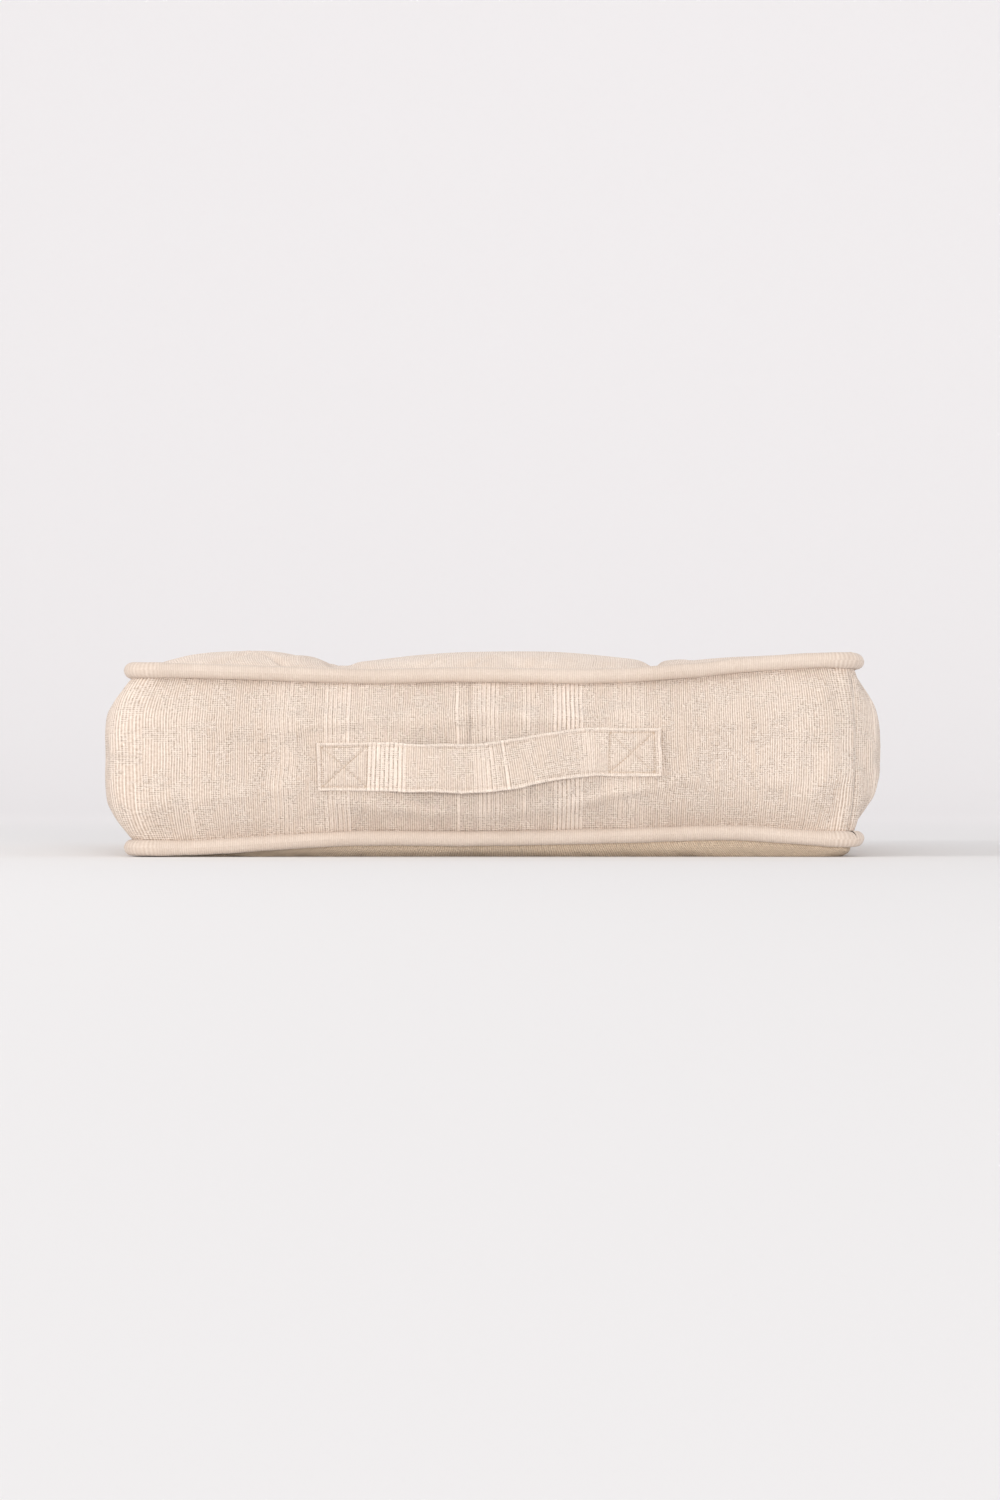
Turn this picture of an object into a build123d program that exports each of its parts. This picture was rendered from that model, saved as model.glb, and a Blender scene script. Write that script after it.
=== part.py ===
from build123d import *
import math
import os

# A square boxed floor cushion. Two crowned panels, top and bottom, are sewn to an
# upright strip of cloth, the boxing, with a corded welt in each seam. A carry
# handle is sewn to the front, a zip closes the back, and four tufts pull a covered
# button down into each panel. Inside are a liner and three layers of fibre.
#
# Millimetres, +Z up. The origin is the middle of the foot, the flat patch that the
# cushion stands on. The handle faces -Y.

# ---- the cushion ----
width = 610.0  # over the welts, left to right
depth = 610.0  # over the welts, front to back
boxing_height = 135.0  # from seam to seam
side_bulge = 31.5  # how far the boxing stands out past its seams
corner_radius = 16.0  # of the seam line, in plan
crown = 26.0  # rise of the top panel from its seam
belly = 14.0  # drop of the bottom panel from its seam to the foot
foot_inset = 40.0  # from the seam line to the edge of the flat foot
foot_corner_radius = 20.0
cloth = 1.2  # thickness of the cover's cloth

# ---- the welts ----
welt_diameter = 14.0
wrap_cloth = 0.9  # cloth of the strip folded round the cord
wrap_clearance = 0.1  # between the wrap and its cord
lip_width = 8.0  # how far the wrap's two lips reach past the tube, into the seam
lip_gap = 0.2  # between the two lips
seam_clearance = 0.1  # between two pieces that are sewn together
boxing_lip = 7.0  # upright stretch of boxing beside each welt

# ---- the tufts ----
tuft_spacing = 280.0  # between tufts, both ways
top_dimple_depth = 16.0
top_dimple_radius = 48.0
top_dimple_floor = 17.0  # radius of the dimple's flat floor
foot_dimple_depth = 11.0
foot_dimple_radius = 45.0
foot_dimple_floor = 18.0  # radius of the dimple's flat top
button_radius = 14.0
button_edge = 2.5  # upright edge of the covered button
button_height = 8.0
twine_diameter = 2.0
twine_clearance = 0.5  # round the twine where it goes through cloth or fibre

# ---- the liner and the filling ----
liner_cloth = 0.8
liner_drop = 3.0  # from a panel to the liner sheet beside it, measured upright
liner_inset = 7.0  # from the seam line to the edges of the liner's bottom sheet
liner_top_inset = 8.0  # and to those of its top sheet
band_gap = 7.5  # from the boxing to the liner's side band
band_margin = 12.0  # how far the side band stops short of each seam
fibre_gap = 1.5  # between the liner and the fibre
fibre_inset = 12.0  # from the seam line to the fibre layers' edges
core_height = 83.0
layer_gap = 0.5  # between layers of fibre

# ---- the handle ----
strap_length = 287.0
strap_width = 40.0
strap_blank = 64.0  # width of the strip that the tilted strap is cut from
strap_thickness = 3.0
strap_tilt = 2.7  # degrees, the right end higher
strap_bow = 15.0  # how far the middle stands off the boxing
box_stitch = 33.0  # side of the sewn box at each end
box_stitch_inset = 3.0  # from the strap's end to the sewn box
edge_stitch_inset = 2.0  # from the strap's edge to the long rows
thread = 0.9  # width of a sewn row
thread_height = 0.6
backing_width = 48.0
backing_height = 46.0
backing_thickness = 0.9
backing_gap = 0.3  # from the boxing's inner face

# ---- the zip ----
zip_margin = 52.0  # from the outside of the welts to each end of the chain
zip_mouth = 13.0  # between the folded edges of the two back strips
tape_width = 14.0
tape_thickness = 0.7
tape_overrun = 8.0  # how far the tape runs on past the chain
chain_gap = 1.2  # between the two halves of the chain, where the slider's web runs
coil_width = 2.6
coil_height = 2.3
stop_length = 4.0
stop_height = 2.8
slider_length = 12.0
slider_width = 10.4
slider_plate = 1.4
slider_flange = 1.5
slider_clearance = 0.35
slider_park = 3.0  # from the closed slider to the top stops
slider_corner = 1.2
web_length = 8.0
bridge_width = 2.0
bridge_leg = 1.2
bridge_bar = 1.0
bridge_opening = 2.6
pull_length = 30.0
pull_width = 8.0
pull_thickness = 1.4
pull_arm = 1.3
pull_bar_radius = 0.8
pull_clearance = 0.4
pull_corner = 2.0

# ---- what follows from them ----
welt_radius = welt_diameter / 2
seam_to_welt = cloth + 2 * seam_clearance + welt_radius  # to the tube's middle
seam_x = width / 2 - welt_radius - seam_to_welt  # the seam line's half-width
seam_y = depth / 2 - welt_radius - seam_to_welt
low_seam_z = belly
high_seam_z = belly + boxing_height
mid_z = (low_seam_z + high_seam_z) / 2
lips = 2 * wrap_cloth + lip_gap  # thickness of the two lips together
lip_edge = lips / 2 + seam_clearance  # from the seam's level to the cloth beside it

# The boxing's arc, in the upright plane across it: (outward from the seam line, up
# from mid_z). Its middle lies behind the seam line by arc_setback.
half_boxing = boxing_height / 2 - lip_edge
half_chord = half_boxing - boxing_lip
inner_bulge = side_bulge - cloth
arc_radius = (half_chord**2 + inner_bulge**2) / (2 * inner_bulge)
arc_setback = arc_radius - inner_bulge
boxing_outer = arc_radius + cloth

# The floor of a top dimple, on the underside of the panel.
tuft_u, tuft_v = tuft_spacing / 2 / seam_x, tuft_spacing / 2 / seam_y
top_tuft_z = high_seam_z + lip_edge + crown * (1 - tuft_u**2) * (1 - tuft_v**2)
top_tuft_z -= top_dimple_depth

tufts = {
    f"{end}_{side}": (x * tuft_spacing / 2, y * tuft_spacing / 2)
    for end, y in (("front", -1), ("back", 1))
    for side, x in (("left", -1), ("right", 1))
}
twine_hole = twine_diameter / 2 + twine_clearance
reach = width + depth  # longer than anything it has to cut through
tolerance = 0.01  # for telling one edge from another


def box(low, high):
    """A box between two corners."""
    size = [h - l for l, h in zip(low, high)]
    return Pos(*low) * Box(*size, align=(Align.MIN,) * 3)


def outline(inset, radius):
    """A rounded rectangle, inset from the seam line all round."""
    return RectangleRounded(2 * (seam_x - inset), 2 * (seam_y - inset), radius)


def slab(inset, low, high):
    """An upright block with rounded corners, inset from the seam line."""
    return Pos(0, 0, low) * extrude(outline(inset, corner_radius), high - low)


def without_twine(shape):
    """The shape with a hole where each tuft's twine goes through."""
    for x, y in tufts.values():
        shape -= Pos(x, y, 0) * Cylinder(twine_hole, reach)
    return shape


def seam_path(outward):
    """The seam line at mid_z, moved outward, starting halfway along the right side."""
    x, y, r = seam_x + outward, seam_y + outward, corner_radius + outward
    corners = [(x, y), (-x, y), (-x, -y), (x, -y)]
    edges = []
    last = (x, 0)
    for i, (cx, cy) in enumerate(corners):
        sx, sy = math.copysign(1, cx), math.copysign(1, cy)
        ends = [(cx, cy - sy * r), (cx - sx * r, cy)]
        if i % 2:
            ends.reverse()
        middle = (cx - sx * r + sx * r * math.sqrt(0.5), cy - sy * r + sy * r * math.sqrt(0.5))
        edges.append(Line(last, ends[0]))
        edges.append(ThreePointArc(ends[0], middle, ends[1]))
        last = ends[1]
    edges.append(Line(last, (x, 0)))
    return Pos(0, 0, mid_z) * Wire(edges)


def ring(section, outward):
    """A section drawn as (outward from the seam line, up from mid_z), swept all round."""
    placed = Plane((seam_x, 0, mid_z), x_dir=(1, 0, 0), z_dir=(0, -1, 0)) * section
    return sweep(placed, path=seam_path(outward))


# ---- panels ----
def crowned_face():
    """The underside of the top panel's crown, running a little past the seam line."""
    past = 1.1
    z = high_seam_z + lip_edge
    edge, middle = 1 - past**2, 1 + past**2  # control values of 1 - u**2
    points = [
        [(u * past * seam_x, v * past * seam_y, z + crown * fu * fv) for u, fu in profile]
        for profile in [((-1, edge), (0, middle), (1, edge))]
        for v, fv in profile
    ]
    return Face.make_bezier_surface(points)


def crowned_body():
    """Everything under the top panel: a crown with a funnel down to each button."""
    body = extrude(crowned_face(), amount=-boxing_height, dir=(0, 0, 1))
    slope = (top_dimple_radius - top_dimple_floor) / top_dimple_depth
    rise = 2 * top_dimple_depth  # the funnel runs on up, clear of the crown
    funnel = Cone(
        top_dimple_floor,
        top_dimple_floor + slope * rise,
        rise,
        align=(Align.CENTER, Align.CENTER, Align.MIN),
    )
    for x, y in tufts.values():
        body -= Pos(x, y, top_tuft_z) * funnel
    return body


def crowned_sheet(drop, thickness, inset):
    """A sheet under the crown, lowered by drop."""
    body = crowned_body()
    sheet = Pos(0, 0, thickness - drop) * body - Pos(0, 0, -drop) * body
    return without_twine(sheet & slab(inset, mid_z, reach))


def dimple(base):
    """The hollow that a tuft pulls up into the underside, with its mouth at base."""
    mouth = Circle(foot_dimple_radius)
    floor = Pos(0, 0, foot_dimple_depth) * Circle(foot_dimple_floor)
    cone = loft([mouth, floor], ruled=True)
    return [Pos(x, y, base) * cone for x, y in tufts.values()]


def dish(inset):
    """Everything above the underside: flat at the foot, sloping up to the seam."""
    foot = outline(foot_inset, foot_corner_radius)
    rim = Pos(0, 0, low_seam_z - lip_edge) * outline(inset, corner_radius)
    return loft([foot, rim], ruled=True) - dimple(0)


def dished_sheet(lift, thickness, inset):
    body = dish(inset)
    return without_twine(Pos(0, 0, lift) * (body - Pos(0, 0, thickness) * body))


# ---- boxing ----
def arc_band(inner, outer, half_height):
    """The part of a ring of cloth, about the boxing's arc, that lies near mid_z."""
    disc = Circle(outer) - Circle(inner)
    return Pos(-arc_setback, 0) * disc & Pos(reach / 2, 0) * Rectangle(
        reach + 2 * arc_setback, 2 * half_height
    )


def boxing_ring():
    bulge = arc_band(arc_radius, boxing_outer, half_chord)
    upright = Pos(0, half_boxing - boxing_lip / 2) * Rectangle(
        cloth, boxing_lip, align=(Align.MIN, Align.CENTER)
    )
    return ring(bulge + upright + mirror(upright, about=Plane.XZ), 0)


def corner(sx, sy, out=0.0):
    """A point on the line on which the boxing is seamed at a corner."""
    return (
        sx * (seam_x - corner_radius + out),
        sy * (seam_y - corner_radius + out),
    )


def plan(points):
    """An upright block over a polygon in plan."""
    return extrude(make_face(Polyline(*points, close=True)), reach)


def boxing_strips():
    whole = boxing_ring()
    out = side_bulge + corner_radius + welt_diameter
    front_left = plan(
        [
            corner(1, -1),
            corner(1, -1, out),
            corner(-1, -1, out),
            corner(-1, 1, out),
            corner(-1, 1),
            corner(-1, -1),
        ]
    )
    right = plan([corner(1, -1), corner(1, -1, out), corner(1, 1, out), corner(1, 1)])
    back = plan([corner(1, 1), corner(1, 1, out), corner(-1, 1, out), corner(-1, 1)])
    mouth = box(
        (-chain_end - tape_overrun / 2, 0, mid_z - zip_mouth / 2),
        (chain_end + tape_overrun / 2, reach, mid_z + zip_mouth / 2),
    )
    rear = (whole & back) - mouth
    above = box((-reach, -reach, mid_z), (reach, reach, reach))
    return {
        "front_left_boxing": whole & front_left,
        "right_boxing": whole & right,
        "rear_boxing_upper": rear & above,
        "rear_boxing_lower": rear - above,
    }


# ---- welts ----
def welts():
    inside = welt_radius - wrap_cloth
    tube = Circle(welt_radius) - Circle(inside)
    lip = Rectangle(welt_radius + lip_width, lips, align=(Align.MAX, Align.CENTER))
    slit = Rectangle(reach, lip_gap, align=(Align.MAX, Align.CENTER))
    section = tube + (lip - Circle(inside)) - slit
    wrap = ring(Pos(seam_to_welt, 0) * section, seam_to_welt)
    cord = ring(Pos(seam_to_welt, 0) * Circle(inside - wrap_clearance), seam_to_welt)
    found = {}
    for name, z in (("top", high_seam_z), ("bottom", low_seam_z)):
        found[f"{name}_welt_wrap"] = Pos(0, 0, z - mid_z) * wrap
        found[f"{name}_welt_cord"] = Pos(0, 0, z - mid_z) * cord
    return found


# ---- liner and filling ----
def liner():
    radius = arc_radius - band_gap
    section = arc_band(radius - liner_cloth, radius, half_boxing - band_margin)
    return {
        "liner_top": crowned_sheet(liner_drop, liner_cloth, liner_top_inset),
        "liner_band": ring(section, 0),
        "liner_bottom": dished_sheet(liner_drop, liner_cloth, liner_inset),
    }


def filling():
    core_low = mid_z - core_height / 2
    core_high = mid_z + core_height / 2
    lift = liner_drop + cloth + fibre_gap
    under_top = Pos(0, 0, -liner_drop - fibre_gap) * crowned_body()
    foot = Pos(0, 0, lift) * outline(foot_inset + lift, foot_corner_radius)
    shoulder_z = lift + belly
    shoulder = Pos(0, 0, shoulder_z) * outline(fibre_inset, corner_radius)
    bottom = loft([foot, shoulder], ruled=True)
    bottom += slab(fibre_inset, shoulder_z, core_low - layer_gap)
    top = under_top & slab(fibre_inset, core_high + layer_gap, reach)
    return {
        "top_fibre_layer": without_twine(top),
        "core_fibre_layer": without_twine(slab(fibre_inset, core_low, core_high)),
        "bottom_fibre_layer": without_twine(bottom - dimple(lift)),
    }


# ---- tufts ----
def button():
    """A covered button, flat side down: an upright edge under a dome."""
    rise = button_height - button_edge
    dome_radius = (button_radius**2 + rise**2) / (2 * rise)
    body = Cylinder(button_radius, button_height, align=(Align.CENTER, Align.CENTER, Align.MIN))
    return body & Pos(0, 0, button_height - dome_radius) * Sphere(dome_radius)


def tufting():
    found = {}
    shape = button()
    for name, (x, y) in tufts.items():
        top = top_tuft_z + cloth + seam_clearance
        bottom = foot_dimple_depth - seam_clearance
        found[f"top_button_{name}"] = Pos(x, y, top) * shape
        found[f"bottom_button_{name}"] = Pos(x, y, bottom) * Rot(180, 0, 0) * shape
        twine = Cylinder(
            twine_diameter / 2, top - bottom, align=(Align.CENTER, Align.CENTER, Align.MIN)
        )
        found[f"tufting_twine_{name}"] = Pos(x, y, bottom) * twine
    return found


# ---- handle ----
front_arc_y = -(seam_y - arc_setback)  # the front boxing arc's middle


def front_shell(inner, outer, half_height):
    """A strip about the front boxing's arc, as (y, z) on the YZ plane."""
    disc = Circle(outer) - Circle(inner)
    window = Pos(-reach / 2, 0) * Rectangle(reach, 2 * half_height)
    return Pos(front_arc_y, mid_z) * (disc & window)


def strap_layer(inner, outer):
    """A tall strip that follows the handle: flat ends, and a middle bowed outward."""
    end = strap_length / 2
    sewn = end - box_stitch - 2 * box_stitch_inset
    sewn_face = boxing_outer + seam_clearance
    face = front_arc_y - boxing_outer - seam_clearance
    path = Wire(
        [
            Line((-end, face), (-sewn, face)),
            tangent_bow(-sewn, -sewn / 2, face, 1),
            ThreePointArc(
                (-sewn / 2, face - strap_bow / 2),
                (0, face - strap_bow),
                (sewn / 2, face - strap_bow / 2),
            ),
            tangent_bow(sewn, sewn / 2, face, -1).reversed(),
            Line((sewn, face), (end, face)),
        ]
    )
    section = Plane.YZ.offset(-end) * front_shell(
        sewn_face + inner, sewn_face + outer, strap_blank / 2
    )
    return sweep(section, path=Pos(0, 0, mid_z) * path)


def tangent_bow(start, stop, face, direction):
    """The arc that leaves the boxing along it at start and is half the bow out at stop."""
    return TangentArc((start, face), (stop, face - strap_bow / 2), tangent=(direction, 0))


def tilted(low_x, high_x, low_z, high_z):
    """A block through the handle, measured along and across the tilted strap."""
    bar = box((low_x, -reach, low_z), (high_x, 0, high_z))
    return Pos(0, 0, mid_z) * Rot(0, -strap_tilt, 0) * bar


def box_stitching(side):
    """The sewn box with its cross, through a block as wide as the thread."""
    half = box_stitch / 2
    middle = side * (strap_length / 2 - box_stitch_inset - half)
    frame = Rectangle(box_stitch, box_stitch) - Rectangle(
        box_stitch - 2 * thread, box_stitch - 2 * thread
    )
    diagonal = Rectangle(box_stitch * math.sqrt(2) - 2 * thread, thread)
    pattern = frame + Rot(0, 0, 45) * diagonal + Rot(0, 0, -45) * diagonal
    block = extrude(Plane.XZ * (Pos(middle, 0) * pattern), reach)
    return Pos(0, 0, mid_z) * Rot(0, -strap_tilt, 0) * block


def handle():
    end, half = strap_length / 2, strap_width / 2
    strap = strap_layer(0, strap_thickness) & tilted(-end, end, -half, half)
    threads = strap_layer(strap_thickness, strap_thickness + thread_height)
    edge = half - edge_stitch_inset
    inset = end - edge_stitch_inset
    upper_row = tilted(-inset, inset, edge - thread, edge)
    lower_row = tilted(-inset, inset, -edge, thread - edge)
    found = {
        "handle_strap": strap,
        "handle_edge_stitching_upper": threads & upper_row,
        "handle_edge_stitching_lower": threads & lower_row,
    }
    outer = arc_radius - backing_gap
    patch = front_shell(outer - backing_thickness, outer, backing_height / 2)
    for name, side in (("left", -1), ("right", 1)):
        middle = side * (end - box_stitch_inset - box_stitch / 2)
        found[f"handle_box_stitching_{name}"] = threads & box_stitching(side)
        found[f"handle_backing_{name}"] = Pos(middle, 0, 0) * extrude(
            Plane.YZ * patch, backing_width / 2, both=True
        )
    return found


# ---- zip ----
chain_end = width / 2 - zip_margin
tape_back = (
    seam_y - arc_setback + math.sqrt(arc_radius**2 - (chain_gap / 2 + tape_width) ** 2)
) - seam_clearance - tape_thickness
tape_face = tape_back + tape_thickness
chain_face = tape_face + coil_height
plate_low = chain_face + slider_clearance  # the slider's outer plate
plate_high = plate_low + slider_plate
hinge_y = plate_high + bridge_opening / 2
slider_x = chain_end - stop_length - slider_park - slider_length / 2


def chain_half(sign):
    """One tape with its row of coil, above (1) or below (-1) the chain's middle."""
    near = chain_gap / 2
    tape_end = chain_end + tape_overrun

    def bar(half_length, low_y, high_y, far):
        low, high = sorted((mid_z + sign * near, mid_z + sign * (near + far)))
        return box((-half_length, low_y, low), (half_length, high_y, high))

    tape = bar(tape_end, tape_back, tape_face, tape_width)
    coil = bar(chain_end - stop_length, tape_face, chain_face, coil_width)
    return tape, coil


def stops():
    """A top stop on each tape, and one bottom stop across both."""
    low, high = chain_end - stop_length, chain_end
    near, far = chain_gap / 2, chain_gap / 2 + coil_width
    face = tape_face + stop_height
    return {
        "zip_top_stop_upper": box(
            (low, tape_face, mid_z + near), (high, face, mid_z + far)
        ),
        "zip_top_stop_lower": box(
            (low, tape_face, mid_z - far), (high, face, mid_z - near)
        ),
        "zip_bottom_stop": box(
            (-high, tape_face, mid_z - far), (-low, face, mid_z + far)
        ),
    }


def on_corner(point, half_l, half_w):
    """Whether a point is on one of the slider's four upright corners."""
    return abs(abs(point.X) - half_l) < tolerance and abs(abs(point.Z) - half_w) < tolerance


def slider():
    """Two plates joined by a web that runs between the halves of the chain."""
    half_l, half_w = slider_length / 2, slider_width / 2
    under = tape_back - slider_clearance
    body = box((-half_l, plate_low, -half_w), (half_l, plate_high, half_w))
    body += box((-half_l, under - slider_plate, -half_w), (half_l, under, half_w))
    web = chain_gap / 2 - slider_clearance
    body += box((-web_length / 2, under, -web), (web_length / 2, plate_low, web))
    for sign in (-1, 1):
        low, high = sorted((sign * (half_w - slider_flange), sign * half_w))
        body += box(
            (-half_l, tape_face + slider_clearance, low), (half_l, plate_low, high)
        )
    corners = [e for e in body.edges().filter_by(Axis.Y) if on_corner(e.center(), half_l, half_w)]
    body = body.fillet(slider_corner, corners)
    foot = half_l - bridge_leg / 2
    top = plate_high + bridge_opening + bridge_bar
    arch = box((-foot, plate_high, -bridge_width / 2), (foot, top, bridge_width / 2))
    arch -= box(
        (-foot + bridge_leg, plate_high, -bridge_width),
        (foot - bridge_leg, plate_high + bridge_opening, bridge_width),
    )
    return Pos(slider_x, 0, mid_z) * (body + arch)


def pull():
    """The tab, with a slot round the bridge and a bar under it, lying along -X."""
    half_t, half_w = pull_thickness / 2, pull_width / 2
    arm_in = bridge_width / 2 + pull_clearance
    arm_out = arm_in + pull_arm
    swing = math.hypot(slider_length / 2, bridge_opening / 2 + bridge_bar) + pull_clearance
    tab = box((-pull_length, -half_t, -half_w), (-swing, half_t, half_w))
    tab = tab.fillet(pull_corner, tab.edges().filter_by(Axis.Y).group_by(Axis.X)[0])
    for sign in (-1, 1):
        low, high = sorted((sign * arm_in, sign * arm_out))
        tab += box((-swing, -half_t, low), (0, half_t, high))
    tab += Cylinder(pull_bar_radius, 2 * arm_out)
    return Pos(slider_x, hinge_y, mid_z) * tab


def zipper():
    upper_tape, upper_coil = chain_half(1)
    lower_tape, lower_coil = chain_half(-1)
    return {
        "zip_tape_upper": upper_tape,
        "zip_tape_lower": lower_tape,
        "zip_coil_upper": upper_coil,
        "zip_coil_lower": lower_coil,
        **stops(),
        "zip_slider": slider(),
        "zip_pull": pull(),
    }


nodes = {
    "top_panel": crowned_sheet(0, cloth, 0),
    "bottom_panel": dished_sheet(0, cloth, 0),
    **boxing_strips(),
    **welts(),
    **liner(),
    **filling(),
    **tufting(),
    **handle(),
    **zipper(),
}

os.makedirs("parts", exist_ok=True)
for name, shape in nodes.items():
    export_step(shape, f"parts/{name}.step")
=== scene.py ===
"""A square boxed floor cushion in slub cotton, with corded welts, a carry handle and a zip."""

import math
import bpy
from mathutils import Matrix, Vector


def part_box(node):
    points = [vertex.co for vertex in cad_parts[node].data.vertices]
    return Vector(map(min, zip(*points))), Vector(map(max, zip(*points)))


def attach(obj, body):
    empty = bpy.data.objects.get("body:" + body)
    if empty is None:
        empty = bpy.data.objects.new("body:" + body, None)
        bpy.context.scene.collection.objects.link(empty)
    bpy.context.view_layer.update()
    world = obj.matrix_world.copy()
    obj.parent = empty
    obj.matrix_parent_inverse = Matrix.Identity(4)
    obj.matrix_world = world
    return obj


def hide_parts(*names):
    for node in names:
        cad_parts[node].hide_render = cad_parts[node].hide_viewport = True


bl_info = {
    "name": "Boxed Floor Cushion",
    "version": (1, 0, 0),
    "blender": (4, 5, 0),
    "location": "View3D > Sidebar > Cushion",
    "description": "Builds the cover, welts, handle, tufts and zip of a boxed floor cushion",
    "category": "Add Mesh",
}

from functools import partial

import bmesh
import bpy
from bpy.props import FloatProperty, FloatVectorProperty, IntProperty, PointerProperty
from mathutils import Matrix, Vector, noise
from mathutils.bvhtree import BVHTree

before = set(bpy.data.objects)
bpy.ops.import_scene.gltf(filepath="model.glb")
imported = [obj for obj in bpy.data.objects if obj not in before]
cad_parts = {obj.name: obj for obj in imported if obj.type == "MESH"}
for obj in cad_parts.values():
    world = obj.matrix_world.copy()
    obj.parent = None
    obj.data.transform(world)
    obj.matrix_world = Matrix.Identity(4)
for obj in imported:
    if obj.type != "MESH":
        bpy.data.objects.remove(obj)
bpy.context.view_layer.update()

# ---- what the frame gives ----
TOP_WELT_LOW, TOP_WELT_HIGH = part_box("top_welt_wrap")
BOTTOM_WELT_LOW, BOTTOM_WELT_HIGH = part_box("bottom_welt_wrap")
STRAP_LOW, STRAP_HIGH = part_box("handle_strap")
COIL_LOW, COIL_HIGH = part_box("zip_coil_upper")
BUTTON_LOW, BUTTON_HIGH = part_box("top_button_front_left")

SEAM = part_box("top_panel")[1].x  # half the width of the seam line
WELT = (TOP_WELT_HIGH.z - TOP_WELT_LOW.z) / 2  # the welt's radius
WELT_OUT = TOP_WELT_HIGH.x - WELT - SEAM  # from the seam line to the welt's middle
TOP_Z = (TOP_WELT_HIGH.z + TOP_WELT_LOW.z) / 2
BOTTOM_Z = (BOTTOM_WELT_HIGH.z + BOTTOM_WELT_LOW.z) / 2
MIDDLE_Z = (TOP_Z + BOTTOM_Z) / 2
SIDE_FACE = -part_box("front_left_boxing")[0].y  # the boxing's furthest reach
CHAIN_END = -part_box("zip_bottom_stop")[0].x
FOOT_BUTTON_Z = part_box("bottom_button_front_left")[1].z
TUFT = -(BUTTON_LOW.x + BUTTON_HIGH.x) / 2
TUFTS = {
    "front_left": (-TUFT, -TUFT),
    "front_right": (TUFT, -TUFT),
    "back_left": (-TUFT, TUFT),
    "back_right": (TUFT, TUFT),
}

# ---- fixed sizes, in metres ----
BOXING_TALL = 0.152  # the boxing's cloth from seam to seam, along its curve
FOOT_INSET = 0.034  # from the seam line to the flat of the underside
UNDER_BUTTON = 0.0006  # from a button to the cloth that it presses on
SETTLED_IN = 0.0026  # how far the filled front lies inside the shape that it starts from
COVER_THICK = 0.0011
LINER_THICK = 0.0008
WELT_CELL = 0.0032  # length of a welt's squares
MOUTH = 0.0065  # half the gap between the folded edges of the back strips
MOUTH_CLOSING = 0.006  # length over which the gap closes past the chain
STRIP_JOIN = 0.282  # from the middle, where the back strips meet edge to edge
COIL_PITCH, COIL_WIRE = 0.00127, 0.00031
STRAP_LEFT, STRAP_RIGHT = STRAP_LOW.x - 0.001, STRAP_HIGH.x - 0.0065
STRAP_LONG = STRAP_RIGHT - STRAP_LEFT
STRAP_TALL = 0.040
STRAP_THICK = 0.0021
STRAP_BOW = 0.0105  # how far the free middle stands off the boxing
END_BOX = 0.041  # length of the handle's sewn ends
END_LOW, END_HIGH = 0.0735, 0.0868  # height of the strap's middle at its two ends
STITCH_INSET = 0.0035  # from the strap's edge to its rows of stitches
PATCH = (0.044, 0.042)  # the backing behind each end of the handle
BAND_TALL = 0.12  # the liner's side band
LINER_DROP, FIBRE_DROP = 0.006, 0.009  # from the cover's panels

# How far each seam line rises above its level, in millimetres, at fractions of the
# way round from the front right corner, past the front left one and the back.
TOP_RISE = (
    (0.0, 13.0), (0.03, 10.0), (0.055, 4.5), (0.085, 0.2), (0.14, 1.2), (0.17, -0.2),
    (0.21, 2.6), (0.25, 4.8), (0.31, 1.5), (0.375, -1.0), (0.44, 2.0), (0.5, 7.0),
    (0.56, 3.0), (0.625, 0.0), (0.69, 2.0), (0.75, 6.0), (0.82, 1.0), (0.9, 0.5), (0.96, 6.0),
)
BOTTOM_RISE = (
    (0.0, 0.5), (0.016, 2.6), (0.04, 5.8), (0.08, 3.4), (0.13, 1.0), (0.175, 1.2),
    (0.2, -1.8), (0.23, -6.2), (0.25, -6.6), (0.29, -4.0), (0.35, 1.0), (0.42, 2.0),
    (0.47, -3.0), (0.5, -5.5), (0.55, 0.0), (0.64, 3.0), (0.7, 1.0), (0.75, -4.5),
    (0.8, 1.0), (0.88, 3.5), (0.96, 2.5),
)


# ---- sizes and colours ----
def length(label, metres, about):
    return FloatProperty(name=label, description=about, default=metres, subtype="DISTANCE")


def share(label, value, about):
    return FloatProperty(name=label, description=about, default=value)


def colour(label, value, about):
    return FloatVectorProperty(
        name=label, description=about, default=value, size=3, min=0, max=1, subtype="COLOR"
    )


class CushionShape(bpy.types.PropertyGroup):
    """Sizes of the stuffed cover"""

    corner: length("Corner", 0.013, "Radius of the seam line's corners in plan")
    pull_in: length("Pull-in", 0.005, "How far each side draws in between its corners")
    ear: length("Ear", 0.003, "How far the welts stand out at the corners")
    welt: length("Welt", 0.0063, "Radius of the welts as they lie")
    crown: length("Crown", 0.0175, "Rise of the top panel over its seam")
    valley: length("Valley", 0.0085, "Depth of the valleys that run through the tufts")
    bulge: length("Bulge", 0.0275, "How far the boxing stands out between its seams")
    side_bulge: length("Side bulge", 0.006, "How much further it stands out at the sides")
    round_off: length("Rounding", 0.055, "Radius in plan of the boxing's corners at mid-height")
    cell: length("Cell", 0.0046, "Size of the squares that the cloth is divided into")
    slack: share("Slack", 0.009, "How much more cloth there is than the bare shape needs")
    pressure: share("Filling", 3.0, "Outward push of the filling")


class CushionCloth(bpy.types.PropertyGroup):
    """The slub cotton that the cover is made of"""

    rib: length("Rib", 0.0018, "Spacing of the ribs")
    pick: length("Pick", 0.0017, "Spacing of the cross threads")
    relief: length("Relief", 0.0006, "Height of the weave")
    # The two colours are mixed by the weave's height, so the dark one is partly painted shade between
    # the ribs and the light one partly painted highlight on the crests.
    light: colour("Light thread", (0.93, 0.81, 0.71), "Colour of the ribs' crests")
    dark: colour("Dark thread", (0.44, 0.32, 0.235), "Colour between the ribs")
    thread: colour("Sewing thread", (0.64, 0.50, 0.38), "Colour of the stitching")


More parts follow.
